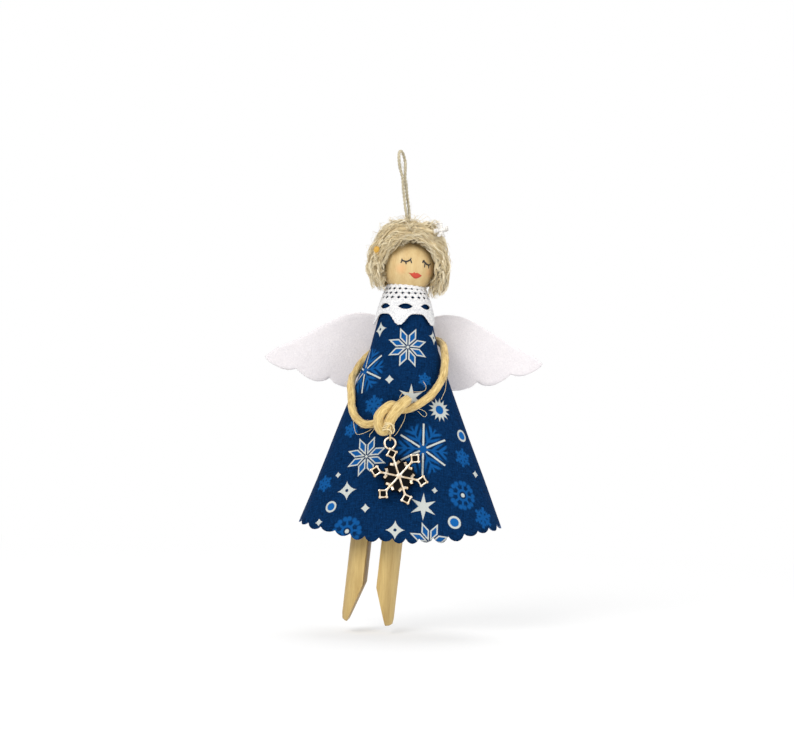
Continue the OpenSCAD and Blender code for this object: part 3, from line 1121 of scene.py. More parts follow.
@dataclass(frozen=True)
class LaceFinish(Finish):
    """White cotton thread with small stitches."""

    name: str = "cotton_lace"
    white: Colour = tint(235, 234, 232)
    shade: Colour = tint(182, 183, 188)

    def paint(self, lace: Shader) -> None:
        """Lays the stitches.

        Args:
            lace: Shader of the thread.
        """
        stitch = lace.noise(lace.place(), 3.1, 2, 0.6)
        twist = lace.noise(lace.place((0, 0.6, 0), (5, 5, 1.6)), 1, 1)
        knot = stitch * 0.6 + twist * 0.4
        lace.set(Base_Color=lace.mix(knot.over(0.47, 0.3), self.shade, self.white), Roughness=0.85)
        lace.set(Normal=lace.bump(knot, 0.75, 0.28), Specular_IOR_Level=0.25, Sheen_Weight=0.15)


@dataclass(frozen=True)
class FeltFinish(Finish):
    """White pressed wool felt."""

    name: str = "white_felt"
    white: Colour = tint(232, 227, 228)
    shade: Colour = tint(207, 202, 205)

    def paint(self, felt: Shader) -> None:
        """Presses the fibres.

        Args:
            felt: Shader of the felt.
        """
        here = felt.place()
        drift = felt.read("ShaderNodeTexNoise", inputs={"Vector": here, "Scale": 0.9}, output=1)
        warp = felt.vector("ADD", here, felt.scaled(drift, 2.2))
        fibre = felt.noise(felt.vector("MULTIPLY", warp, (4, 4, 1.1)), 1, 3, 0.65)
        other = felt.noise(felt.vector("MULTIPLY", warp, (1, 4, 4.2)), 1, 3, 0.65)
        cloud = felt.noise(here, 0.35, 2)
        fuzz = fibre * 0.5 + other * 0.5
        felt.set(Base_Color=felt.mix(fuzz.over(0.46, 0.3) * 0.75 + cloud * 0.25, self.shade, self.white))
        felt.set(Roughness=0.95, Specular_IOR_Level=0.15, Sheen_Weight=0.35, Sheen_Roughness=0.6)
        felt.set(Normal=felt.bump(fuzz, 0.6, 0.3))


@dataclass(frozen=True)
class YarnFinish(Finish):
    """Soft yarn with fibres along its length."""

    light: Colour
    mid: Colour
    dark: Colour
    streaks: float

    def paint(self, yarn: Shader) -> None:
        """Lays the fibres.

        Args:
            yarn: Shader of the yarn.
        """
        fibre = yarn.noise(yarn.unwrapped(0.22, self.streaks), 1, 3, 0.65)
        blotch = yarn.noise(yarn.place(), 0.45, 2)
        fine = yarn.noise(yarn.unwrapped(0.6, self.streaks * 2.4), 1, 2, 0.6)
        shade = yarn.mix(fibre.over(0.46, 0.3), self.dark, self.mid)
        shade = yarn.mix(fine.over(0.55, 0.25) * 0.6 + (blotch - 0.5) * 0.5, shade, self.light)
        yarn.set(Base_Color=shade, Roughness=0.78, Specular_IOR_Level=0.25, Sheen_Weight=0.25)
        yarn.set(Normal=yarn.bump(fibre * 0.6 + fine * 0.4, 0.55, 0.25))


@dataclass(frozen=True)
class HairFinish(Finish):
    """Pale ash-blond mohair, each strand with its own tone, which also carries painted shade where the
    strands lie deeper.
    """

    name: str = "mohair"
    light: Colour = tint(241, 231, 203)
    mid: Colour = tint(210, 191, 148)
    dark: Colour = tint(158, 133, 91)

    def paint(self, hair: Shader) -> None:
        """Tints the strands.

        Args:
            hair: Shader of the hair.
        """
        # tone mixes each strand's random tone with painted shade for strands that lie deeper
        tone = hair.read("ShaderNodeAttribute", {"attribute_name": "tone"}, output="Fac")
        level = tone * 0.74 + hair.noise(hair.place(), 0.5, 2) * 0.4 - 0.05
        shade = hair.mix(level * 2, self.dark, self.mid)
        shade = hair.mix(level * 2.0 - 1, shade, self.light)
        hair.set(Base_Color=shade, Roughness=0.5, Specular_IOR_Level=0.4, Sheen_Weight=0.2)


@dataclass(frozen=True)
class AntiqueSilverFinish(Finish):
    """Cast metal with patina in its hollows, worn bright on its raised faces; faces turned to the front are
    painted light and the flanks painted shade.
    """

    centre: Place
    ring: Place
    facing: Place
    # bright is silver warmed to cream as a painted warm reflection; dark stands for patina and for painted
    # shade on the flanks and in the hollows
    bright: Colour = tint(240, 228, 210)
    tan: Colour = tint(208, 183, 149)
    dark: Colour = tint(15, 13, 14)
    ring_reach: float = 2.1

    def paint(self, metal: Shader) -> None:
        """Wears the raised faces bright and paints light on faces turned to the front, and shade on the
        flanks and in the hollows.

        Args:
            metal: Shader of the metal.
        """
        here = metal.place()
        normal = metal.node("ShaderNodeTexCoord").outputs["Normal"]
        # painted light and shade: faces turned to the front count as bright, the flanks as dark
        ridge = abs(metal.span("DOT_PRODUCT", normal, self.facing))
        spots = metal.noise(here, 1.5, 3, 0.65)
        height = abs(metal.span("DOT_PRODUCT", metal.vector("SUBTRACT", here, self.centre), self.facing))
        on_ring = metal.span("DISTANCE", here, self.ring).under(self.ring_reach, 0.1)
        # real wear on raised faces, mixed with painted light on faces turned to the front
        wear_and_facing_light = (ridge + (spots - 0.5) * 0.3).over(0.8, 0.36) * height.over(0.46, 0.2).most(on_ring)
        patina = metal.mix(metal.noise(here, 0.9, 2).over(0.5, 0.25), self.tan, self.bright)
        metal.set(Base_Color=metal.mix(wear_and_facing_light, self.dark, patina), Metallic=0.9)
        metal.set(Roughness=0.55 - wear_and_facing_light * 0.22, Normal=metal.bump(spots, 0.25, 0.1))


@dataclass(frozen=True)
class SatinFinish(Finish):
    """Narrow woven ribbon with a soft gloss."""

    name: str = "white_ribbon"
    white: Colour = tint(238, 235, 229)
    shade: Colour = tint(160, 153, 146)

    def paint(self, satin: Shader) -> None:
        """Lays the ribs.

        Args:
            satin: Shader of the ribbon.
        """
        rib = satin.noise(satin.unwrapped(7, 0.8), 1, 2)
        satin.set(Base_Color=satin.mix(rib.over(0.45, 0.3), self.shade, self.white), Roughness=0.45)
        satin.set(Sheen_Weight=0.2, Normal=satin.bump(rib, 0.3, 0.08))


@dataclass(frozen=True)
class GlossFinish(Finish):
    """Paint or glaze with small changes of shade."""

    main: Colour
    shade: Colour
    rough: float = 0.4

    def paint(self, gloss: Shader) -> None:
        """Clouds the paint.

        Args:
            gloss: Shader of the paint.
        """
        cloud = gloss.noise(gloss.place(), 1.3, 3, 0.6)
        gloss.set(Base_Color=gloss.mix(cloud.over(0.45, 0.4), self.shade, self.main))
        gloss.set(Roughness=cloud * 0.2 + self.rough, Normal=gloss.bump(cloud, 0.2, 0.06))


@dataclass
class Studio:
    """Camera at the photograph's place, soft lamps, pale floor and white surround."""

    across: float = 226.0
    distance: float = 600.0
    sensor: float = 36.0
    middle: Place = (0.56, -8, -61.16)
    roll: float = 1.6
    lamps: tuple[tuple[str, Place, float, float], ...] = (
        ("key_softbox", (-420, -620, 420), 420, 5.6),
        ("fill_softbox", (620, -420, 60), 520, 2.9),
        ("top_softbox", (60, 240, 620), 480, 2.8),
    )
    surround: float = 0.47
    floor_z: float = -138.4
    floor_size: float = 8.0
    floor_grey: Colour = (0.86, 0.86, 0.86, 1)
    shadow_r: float = 190.0
    shadow_fade: float = 260.0

    def build(self) -> None:
        """Sets up the whole studio."""
        bpy.context.scene.view_settings.view_transform = "Standard"
        self.camera()
        self.light()
        self.world()
        self.floor()
        log.info("studio: camera, %d lamps, surround and studio_floor", len(self.lamps))

    def camera(self) -> None:
        """Adds the camera."""
        data = bpy.data.cameras.new("photo_camera")
        data.sensor_fit = "HORIZONTAL"
        data.sensor_width = self.sensor
        data.lens = self.sensor * self.distance / self.across
        data.clip_start = 0.01
        data.clip_end = 50.0
        made = bpy.data.objects.new("photo_camera", data)
        bpy.context.scene.collection.objects.link(made)
        back = Vector((0, -self.distance, 0))
        place = moved((Vector(self.middle) + back) * MM)
        made.matrix_world = place @ turned(-self.roll, "Y") @ turned(90, "X")
        bpy.context.scene.camera = made

    def light(self) -> None:
        """Hangs the square softboxes, each with its place, side and watts, facing the doll's middle."""
        for name, where, side, watts in self.lamps:
            data = bpy.data.lights.new(name, "AREA")
            data.size = side * MM
            data.energy = watts
            made = bpy.data.objects.new(name, data)
            bpy.context.scene.collection.objects.link(made)
            made.location = Vector(where) * MM
            aim = Vector(self.middle) * MM - made.location
            made.rotation_euler = aim.to_track_quat("-Z", "Y").to_euler()

    def world(self) -> None:
        """Makes the surround white to the eye and soft as a light."""
        world = bpy.data.worlds.new("white_surround")
        world.use_nodes = True
        bpy.context.scene.world = world
        sky = Nodes(world.node_tree)
        level = sky.seen() * (1.0 - self.surround) + self.surround
        glow = sky.node("ShaderNodeBackground", inputs={"Color": WHITE, "Strength": level})
        sky.node("ShaderNodeOutputWorld", inputs={"Surface": glow.outputs[0]})

    def floor(self) -> None:
        """Lays a pale floor that keeps the shadow."""
        level = moved((0, 0, self.floor_z * MM))
        floor = Bench.start(bpy.ops.mesh.primitive_plane_add, level, size=self.floor_size)
        floor.name = "studio_floor"
        pale = Shader("pale_floor")
        pale.set(Base_Color=self.floor_grey, Roughness=0.9, Specular_IOR_Level=0.1)
        glow = pale.node("ShaderNodeEmission", inputs={"Color": WHITE, "Strength": 1.0})
        away = pale.span("DISTANCE", pale.place(), (0, 0, self.floor_z))
        share = pale.seen() * (away.over(self.shadow_r, self.shadow_fade) * 0.5 + 0.5)
        ends = {0: share, 1: pale.surface.outputs[0], 2: glow.outputs[0]}
        both = pale.node("ShaderNodeMixShader", inputs=ends)
        pale.feed(pale.output.inputs["Surface"], both.outputs[0])
        floor.data.materials.append(pale.material)


@dataclass
class HangingCord:
    """Linen cord of two plies that leaves the hole in the head, makes the loop and comes back."""

    strand: float = 1.0
    foot: float = 7.4
    crown: float = 14.0
    apart: float = 0.46
    out_of_hair: Place = (0.55, 0.46, 18.5)
    back_shift: float = 0.5
    loop: Places = (
        (0.2, 0.7, 23), (-0.3, 0.7, 26.3), (-0.7, 0.7, 29.3), (-1.1, 1.2, 31.8), (-1.1, 2, 34.3),
        (-1.2, 2.4, 36.5), (-1.8, 1.6, 38.6), (-2.5, 0, 39.4), (-3, -1.6, 38.6), (-3, -2.4, 36.5),
        (-2.6, -2, 34.3), (-1.9, -1.2, 31.8), (-1.6, -0.7, 29.3), (-1.2, -0.7, 26.3), (-0.8, -0.7, 23))
    leaves: Place = (1.2, 0, 14)
    bend_start: Place = (0.05, 0, 20.4)
    bend_end: Place = (-0.3, 0, 23.4)
    ply_pitch: float = 2.1
    ply_out: float = 0.235
    ply_r: float = 0.275
    fibres: int = 46
    finish: Finish = YarnFinish(
        "linen_cord", tint(222, 214, 190), tint(186, 175, 146), tint(136, 124, 98), 7)

    def route(self) -> list[Vector]:
        """Draws the cord's line from the hole, round the loop and back.

        Returns:
            Points of the line.
        """
        aside = Vector((0, self.apart, 0))
        rise = [PEG_AXIS * far + aside for far in (self.foot, (self.foot + self.crown) / 2, self.crown)]
        rise.append(Vector(self.out_of_hair))
        fall = [Vector((p.x, -p.y, p.z)) for p in reversed(rise)]
        fall[0].x -= self.back_shift
        return spline([*rise, *self.loop, *fall], 6)

    def build(self) -> None:
        """Twists the cord and raises its loose fibres."""
        route = self.route()
        sketch = Sketch()
        draw = random.Random(11)
        lay = list(zip(route, carried_frames(route), runs_of(route)))
        for ply in range(2):
            turns = [TURN * run / self.ply_pitch + pi * ply for _, _, run in lay]
            line = [p + towards(f, turn) * self.ply_out for (p, f, _), turn in zip(lay, turns)]
            sketch.tube(line, [self.ply_r + 0.03 * noise.noise(p * 0.8) for p in line], 7, 0.5)
        for _ in range(self.fibres):
            start = draw.randrange(20, len(route) - 22)
            lift = Vector((draw.gauss(0, 1), draw.gauss(0, 1), draw.gauss(0, 0.4))).normalized()
            hair = [route[start + 2 * k] + lift * (0.42 + 0.16 * k) for k in range(4)]
            sketch.tube(hair, [0.035, 0.03, 0.025, 0.012], 3, 0.8)
        cord = sketch.piece("hanging_cord", self.finish.material())
        start, end = placed(self.bend_start), placed(self.bend_end)
        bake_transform(cord)
        stands_for(cord, "linen", "hang_loop", "loop_stem")
        declare_cord(cord, route, self.leaves, self.strand)


@dataclass
class ArmCord:
    """Soft cord that makes the arms, tied in an overhand knot for hands."""

    diameter: float = 2.2
    left: Places = (
        (-9, 7.4, -18.6), (-11.2, 5.4, -20.6), (-13, 3.4, -23.1), (-14.25, 1.2, -25.3),
        (-14.75, -0.2, -26.4), (-15, -3.2, -28.4), (-14.8, -5.3, -30.6), (-14.6, -6.6, -32.6),
        (-14.4, -8, -35), (-13.3, -9.5, -37.3), (-11.4, -11, -38.9), (-9.4, -12.2, -39.3),
        (-6.6, -13, -38.3), (-4.6, -12.9, -36.9))
    right: Places = (
        (8.2, 7.6, -14.5), (10.1, 5, -15.2), (11.2, 1.8, -16.3), (11.6, -1.4, -18), (11.7, -3.4, -19.6),
        (11.8, -4.6, -20.6), (11.5, -6.9, -24), (10.6, -8.6, -26.6), (9.2, -10, -28.9), (7.1, -11.4, -31.3),
        (4.8, -12.4, -33), (2.6, -13.1, -34.2), (0.9, -13.4, -34.8), (-1.2, -13.5, -34.9))
    left_elbow: int = 4
    right_elbow: int = 5
    forward: Place = (0, -0.75, -0.66)
    bend: float = 1.6
    knot: Places = (
        (-6.4, -12.9, -38.3), (-4, -12.5, -36.4), (-1.4, -12.5, -34.2), (0.5, -12.9, -32.8),
        (1, -14.1, -32.2), (0.2, -15.2, -32.9), (-1.4, -15.6, -34.7), (-3, -15.5, -37),
        (-3.9, -14.9, -39.2), (-4.6, -14, -40.7), (-5.8, -13.9, -40.6), (-6.6, -14.6, -38.9),
        (-6.5, -15.1, -36.9), (-5.2, -15, -35), (-3.4, -14.5, -33.8), (-1.7, -13.8, -33.9),
        (0.9, -13.4, -34.8))
    strays: tuple[Places, ...] = (
        ((-1, -15.2, -31.6), (-0.2, -14.6, -30.2), (2.2, -13.8, -29.8), (5.8, -13.4, -29.4),
         (6.4, -13.2, -28.1), (5.6, -13, -26.7)),
        ((4.6, -13.9, -34.4), (6.2, -14.6, -35.1), (6.8, -14.7, -36), (6, -14.6, -36.6), (4.2, -14.3, -35)),
        ((-7.6, -13.6, -39.9), (-8.3, -14, -41.2), (-9, -14.2, -42), (-9.1, -14.3, -42.8)),
        ((-13.9, -10.6, -37.9), (-13.5, -12.2, -40.4), (-12.7, -13, -42.1), (-10.7, -13.8, -41.7),
         (-8.6, -13.6, -40.6)),
        ((0.8, -14.2, -36), (0.6, -15, -37.4), (-0.3, -15.6, -39.4), (-1.5, -15.8, -41.5),
         (-2.2, -15.6, -42.2)),
        ((12.2, -8.6, -25.6), (12, -10.4, -28.6), (11.4, -11.4, -30.3), (10.7, -12, -31.8)),
    )
    wraps: tuple[Places, ...] = (
        ((-5.3, -15.2, -39.6), (-4.7, -16.45, -39.2), (-3.9, -16.7, -38.9), (-3.1, -16.45, -38.9),
         (-2.4, -15.6, -39.2), (-2.3, -14.8, -39.6)),
        ((-5.7, -15.1, -40.1), (-5, -16, -39.9), (-4.2, -16.25, -39.6), (-3.4, -16.05, -39.6),
         (-2.8, -15.3, -39.8), (-2.6, -14.6, -40.2)),
        ((-4.9, -16.1, -38.7), (-4.1, -16.75, -38.6), (-3.1, -16.8, -38.8), (-2.5, -16.4, -39.6),
         (-2.2, -15.9, -40.6), (-2.6, -15.4, -41.5)),
        ((-5.5, -15.6, -40.7), (-4.7, -16, -40.4), (-3.8, -16.4, -40.4), (-3.1, -16.2, -40.9),
         (-3, -15.6, -41.6)),
    )
    sides: int = 26
    stray_r: float = 0.06
    wrap_r: float = 0.22
    swell: float = 0.42
    arm_fibres: int = 70
    knot_fibres: int = 60
    finish: Finish = YarnFinish(
        "arm_yarn", tint(230, 207, 148), tint(207, 179, 116), tint(156, 124, 66), 10)
    pale: Finish = YarnFinish(
        "stray_fibre", tint(236, 220, 178), tint(222, 202, 154), tint(190, 166, 118), 2)

    @staticmethod
    def bundle(run: float, angle: float) -> float:
        """Gives the lobes of a bundle of fibres that turns slowly along the yarn.

        Args:
            run: Length along the yarn.
            angle: Angle round it.

        Returns:
            Factor on the radius.
        """
        turn = angle + run * 0.22
        soft = noise.noise(Vector((run * 0.6, cos(angle) * 1.2, sin(angle) * 1.2)))
        return 1.0 + 0.055 * sin(5 * turn) + 0.03 * sin(9 * turn + run * 0.5) + 0.07 * soft

    def fuzz(self, sketch: Sketch, route: Line, count: int, seed: int) -> None:
        """Adds fine fibres that lie along a cord and lift off it a little.

        Args:
            sketch: Sketch that takes the fibres.
            route: Line of the cord.
            count: Number of fibres.
            seed: Seed of their places.
        """
        draw = random.Random(seed)
        frames = carried_frames(route)
        for _ in range(count):
            start = draw.randrange(4, len(route) - 10)
            angle = draw.uniform(0, TURN)
            lift = abs(draw.gauss(0, 0.22))
            line: list[Vector] = []
            for k in range(4):
                i = start + 2 * k
                out = towards(frames[i], angle + k * draw.uniform(-0.25, 0.25))
                line.append(route[i] + out * (self.diameter / 2 + 0.02 + lift * sin(k)))
            sketch.tube(line, [0.03, 0.03, 0.028, 0.012], 3, 0.7)

    def arm(self, side: str, points: Sequence[Place], bend: Vector, elbow: int, yarn: Material) -> None:
        """Makes one arm along its line.

        Args:
            side: Side of the doll as the viewer sees it.
            points: Line of the arm.
            bend: Half of the bending length.
            elbow: Point of the line at the elbow.
            yarn: Its material.
        """
        name = f"{side}_arm_cord"
        route = spline(points, 8)
        sketch = Sketch()
        sketch.tube(route, [self.diameter / 2] * len(route), self.sides, 0.5, self.bundle)
        self.fuzz(sketch, route, self.arm_fibres, len(name))
        arm = sketch.piece(name, yarn)
        middle = Vector(points[elbow])
        start, end = placed(middle - bend), placed(middle + bend)
        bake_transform(arm)
        stands_for(arm, "arm_cord", f"{side}_arm_upper", f"{side}_arm_lower")
        declare_cord(arm, route, points[0], self.diameter)

    def build(self) -> None:
        """Makes both arms and ties the knot."""
        yarn = self.finish.material()
        axis = (Vector(self.right[self.right_elbow]) - Vector(self.left[self.left_elbow])).normalized()
        forward = Vector(self.forward)
        bend = (forward - axis * forward.dot(axis)).normalized() * self.bend
        self.arm("left", self.left, bend, self.left_elbow, yarn)
        self.arm("right", self.right, bend, self.right_elbow, yarn)
        sketch = Sketch()
        route = spline(self.knot, 10)
        runs = runs_of(route)
        swell = [1.0 + self.swell * max(0, sin(pi * run / runs[-1])) ** 0.6 for run in runs]
        sketch.tube(route, [self.diameter / 2 * s for s in swell], self.sides, 0.5, self.bundle)
        self.fuzz(sketch, route, self.knot_fibres, 5)
        for stray in self.strays:
            line = spline(stray, 5)
            sketch.tube(line, [self.stray_r] * (len(line) - 1) + [self.stray_r / 2], 5, 0.9, slot=1)
        for wrap in self.wraps:
            line = spline(wrap, 6)
            sketch.tube(line, [self.wrap_r] * len(line), 7, 0.9, slot=1)
        knot = sketch.piece("hands_knot_cord", yarn, self.pale.material())
        stands_for(knot, "arm_cord", "hands_knot", body=Body.ARMS)


@dataclass
class PegDoll:
    """Turned peg with the painted face."""

    length: float = 111.0
    neck_r: float = 5.1
    leg_r: float = 7.5
    slot_width: float = 4.1
    slot_length: float = 62.0
    toe_bevel: float = 11.0
    toe_thick: float = 1.9
    turn: float = -5.0
    shoulder: Flat = (-3, -36)
    round_over: float = 0.28
    left_lid: Flats = (
        (-1.6, 6.87), (-1.39, 7.5), (-0.84, 7.45), (-0.2, 7.27), (0.61, 7.53), (1.09, 7.94), (1.23, 8.35))
    right_lid: Flats = (
        (4.57, 7.04), (4.75, 7.62), (5.22, 7.19), (5.81, 6.71), (6.4, 6.6), (6.85, 6.95))
    lashes: tuple[Flats, ...] = (
        ((-0.2, 7.3), (-0.2, 6.95), (-0.12, 6.5)),
        ((1.04, 7.9), (1.25, 7.4), (1.4, 6.86)),
        ((-1.3, 7.5), (-1.36, 7.8), (-1.34, 8.05)),
        ((5.2, 7.15), (5.17, 6.5), (5.08, 5.75)),
        ((6.15, 6.62), (6.28, 6.1), (6.35, 5.6)),
        ((4.75, 7.6), (4.95, 7.75), (5, 7.45)),
    )
    left_brush: float = 0.25
    right_brush: float = 0.28
    lash_brush: float = 0.2
    upper_lip: Flats = (
        (0.6, 4.16), (1.3, 3.98), (1.85, 4.05), (2.25, 4.32), (2.62, 4), (3, 4.2), (3.6, 3.95),
        (4.45, 3.42))
    lower_lip: Flats = (
        (0.6, 4.16), (1.1, 3.66), (1.5, 3.2), (1.95, 2.82), (2.5, 2.52), (3.1, 2.6), (3.8, 2.92),
        (4.45, 3.42))
    lip_paint: float = 0.16
    black: Finish = GlossFinish("lash_paint", tint(26, 22, 20), tint(44, 38, 34))
    red: Finish = GlossFinish("lip_paint", tint(188, 61, 38), tint(172, 50, 32))

    def toe_z(self) -> float:
        """Gives the height of the toes on the peg's own length."""
        return HEAD_RISE + HEAD_R - self.length

    def on_head(self, x: float, z: float, lift: float) -> Vector:
        """Gives the point of the front of the head at an x and z, lifted off it."""
        far = math.hypot(x - HEAD_CENTRE.x, z - HEAD_CENTRE.z)
        return Vector((x, -math.sqrt(max(0.2, (HEAD_R + lift) ** 2 - far**2)), z))

    def turned_profile(self) -> list[Flat]:
        """Draws the turned outline from the toes to the crown.

        Returns:
            Radius and height of each ring.
        """
        toe = self.toe_z()
        rings = [(self.leg_r - 0.8, toe), (self.leg_r - 0.2, toe + 0.5), (self.leg_r, toe + 2)]
        top, end = self.shoulder
        for i in range(13):
            share = i / 12
            ease = (1 - cos(pi * share)) / 2
            rings.append((self.leg_r - (self.leg_r - self.neck_r) * ease, end + (top - end) * share))
        start = pi - math.asin(self.neck_r / HEAD_R)
        for i in range(15):
            angle = start - (start - 0.06) * i / 14
            rings.append((HEAD_R * sin(angle), HEAD_RISE + HEAD_R * cos(angle)))
        return rings

    def slot_saw(self) -> Piece:
        """Shapes the saw cut between the legs, with its opened toes and round end.

        Returns:
            The cut.
        """
        toe = self.toe_z()
        top = toe + self.slot_length
        half = self.slot_width / 2
        wide = self.leg_r - self.toe_thick
        levels = [(wide, toe - 1), (wide, toe), (half, toe + self.toe_bevel), (half, top)]
        levels += [(half * cos(a), top + half * sin(a)) for a in (0.35, 0.7, 1.05, 1.35, 1.53)]
        where = moved((0, 0, toe - 1)) @ Matrix.Diagonal((2 * wide, 4 * self.leg_r, 1, 1))
        cutter = Bench.start(bpy.ops.mesh.primitive_plane_add, where, size=1.0)
        Bench.grow(cutter, levels, deep=False)
        return cutter

    def turn_peg(self) -> Piece:
        """Turns the peg ring by ring and saws its slot.

        Returns:
            The peg.
        """
        rings = self.turned_profile()
        radius, toe = rings[0]
        where = moved((0, 0, toe))
        add = bpy.ops.mesh.primitive_circle_add
        peg = Bench.start(add, where, vertices=72, radius=radius, fill_type="NGON")
        Bench.grow(peg, rings, deep=True)
        cutter = self.slot_saw()
        Bench.apply(peg, "BOOLEAN", object=cutter, operation="DIFFERENCE", solver="EXACT")
        bpy.data.objects.remove(cutter)
        Bench.mend(peg, 0.001)
        sharp = radians(38)
        Bench.apply(peg, "BEVEL", width=self.round_over, segments=2, limit_method="ANGLE", angle_limit=sharp)
        return Bench.join([peg], "turned_peg")

    def stroke(self, sketch: Sketch, points: Sequence[Flat], wide: float) -> None:
        """Draws one brush stroke on the head, thin at its ends.

        Args:
            sketch: Sketch that takes the stroke.
            points: Its line.
            wide: Its half width.
        """
        path = [self.on_head(p.x, p.y, 0) for p in spline(points, 6)]
        shares = [min(0.92, max(0.12, i / (len(path) - 1))) for i in range(len(path))]
        sketch.tube(path, [wide * (0.35 + 0.65 * sin(pi * share) ** 0.6) for share in shares], 6)

    def lips(self) -> Piece:
        """Fills the lips between their upper and lower line.

        Returns:
            The lips.
        """
        sketch = Sketch()
        rows = 6
        shares = [r / rows for r in range(rows + 1)]
        rises = [0.10 * sin(pi * (0.12 + 0.76 * share)) - 0.02 for share in shares]
        lines: list[list[int]] = []
        for a, b in zip(spline(self.upper_lip, 5), spline(self.lower_lip, 5)):
            spots = [a.lerp(b, share) for share in shares]
            lines.append([sketch.add(self.on_head(p.x, p.y, rise)) for p, rise in zip(spots, rises)])
        sketch.grid(lines)
        lips = sketch.piece("painted_lips", self.red.material())
        Bench.mend(lips, 0.00001)
        Bench.apply(lips, "SOLIDIFY", thickness=self.lip_paint * MM, offset=-1)
        return lips

    def build(self) -> None:
        """Makes the peg and paints its face."""
        peg = self.turn_peg()
        lean = Matrix.Rotation(PEG_LEAN, 4, "Y") @ turned(self.turn, "Z")
        Bench.seat(peg, lean, BeechFinish().material(), 32)
        stands_for(peg, "wood", "wooden_peg", body=Body.DOLL)
        sketch = Sketch()
        self.stroke(sketch, self.left_lid, self.left_brush)
        self.stroke(sketch, self.right_lid, self.right_brush)
        for lash in self.lashes:
            self.stroke(sketch, lash, self.lash_brush)
        for paint in (sketch.piece("painted_lashes", self.black.material()), self.lips()):
            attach(paint, Body.DOLL.value)
            log.info("%s: %d faces", paint.name, len(paint.data.polygons))


@dataclass
class CottonDress:
    """Cone of printed cotton with a pinked hem."""

    finish: CottonPrint = CottonPrint()
    thick: float = 0.42
    per_tooth: int = 6
    rows: int = 60
    flat: Flat = (0.124, 0.076)

    def angle(self, j: int) -> float:
        """Gives the angle of a column, spread so that the teeth are even."""
        a = TURN * j / (self.finish.cut.teeth * self.per_tooth)
        return a + self.finish.cut.oval() / 2 * sin(2 * a)

    def point(self, row: int, j: int, inset: float) -> Vector:
        """Gives a point of the cloth.

        Args:
            row: Row from the neck to the hem.
            j: Column round the dress.
            inset: Depth under the outside.

        Returns:
            The point.
        """
        cut = self.finish.cut
        angle = self.angle(j)
        share = row / self.rows
        low = cut.hem_z - cut.dip * sin(angle) ** 2
        z = cut.top + (low - cut.top) * share
        phase = (j % self.per_tooth) / self.per_tooth
        tooth = 3.7 * (j // self.per_tooth)
        uneven = 0.85 + 0.6 * noise.noise(Vector((tooth, 1.3, 0)))
        blunt = 0.66 + 0.45 * abs(noise.noise(Vector((tooth, 7.1, 0))))
        scallop = cut.tooth / 2 - cut.tooth * uneven * sin(pi * phase) ** blunt
        cut_z = z + scallop * smooth(0.955, 1, share)
        wide, deep = cut.half(cut_z)
        fold = 0.22 * sin(7 * angle + 1.3) + 0.14 * sin(13 * angle)
        sway = noise.noise(Vector((cos(angle) * 1.7, sin(angle) * 1.7, z * 0.05))) * 0.3
        out = fold * smooth(0.45, 1, share) + sway * smooth(0.2, 0.6, share)
        out = out * (0.5 + 0.5 * abs(cos(angle)))
        out -= inset * (0.15 + 0.85 * smooth(0, 3.4, cut.top - cut_z))
        return Vector(((wide + out) * cos(angle), (deep + out) * sin(angle), cut_z))

    def build(self) -> None:
        """Makes the dress with its reverse and its cut edges."""
        sketch = Sketch()
        cut = self.finish.cut
        count = cut.teeth * self.per_tooth
        seam = 3 * count // 4 - count // 2
        rows = range(self.rows + 1)
        outer: list[list[int]] = []
        inner: list[list[int]] = []
        flat: list[list[Flat]] = []
        for k in range(seam, seam + count + 1):
            spots = [self.point(row, k % count, 0) for row in rows]
            outer.append([sketch.add(p) for p in spots] if len(outer) < count else outer[0])
            within = [self.point(row, k % count, self.thick) for row in rows]
            inner.append([sketch.add(p) for p in within] if len(inner) < count else inner[0])
            angle = self.angle(k) - TURN
            angle += 0.0 if angle > -1.5 * pi - 0.01 else TURN
            places = [cut.unrolled(p.z, angle) for p in spots]
            flat.append([(u / self.finish.uv_scale, v / self.finish.uv_scale) for u, v in places])
        sketch.grid(outer, flat)
        for face in sketch.faces:
            a, b, c, d = (sketch.points[i] for i in face)
        sketch.grid([[o[-1], *reversed(i), o[0]] for o, i in zip(outer, inner)], slot=1)
        dress = sketch.piece("cotton_dress", self.finish.material(), ReverseFinish().material())
        stands_for(dress, "printed_cotton", "dress", body=Body.DOLL)


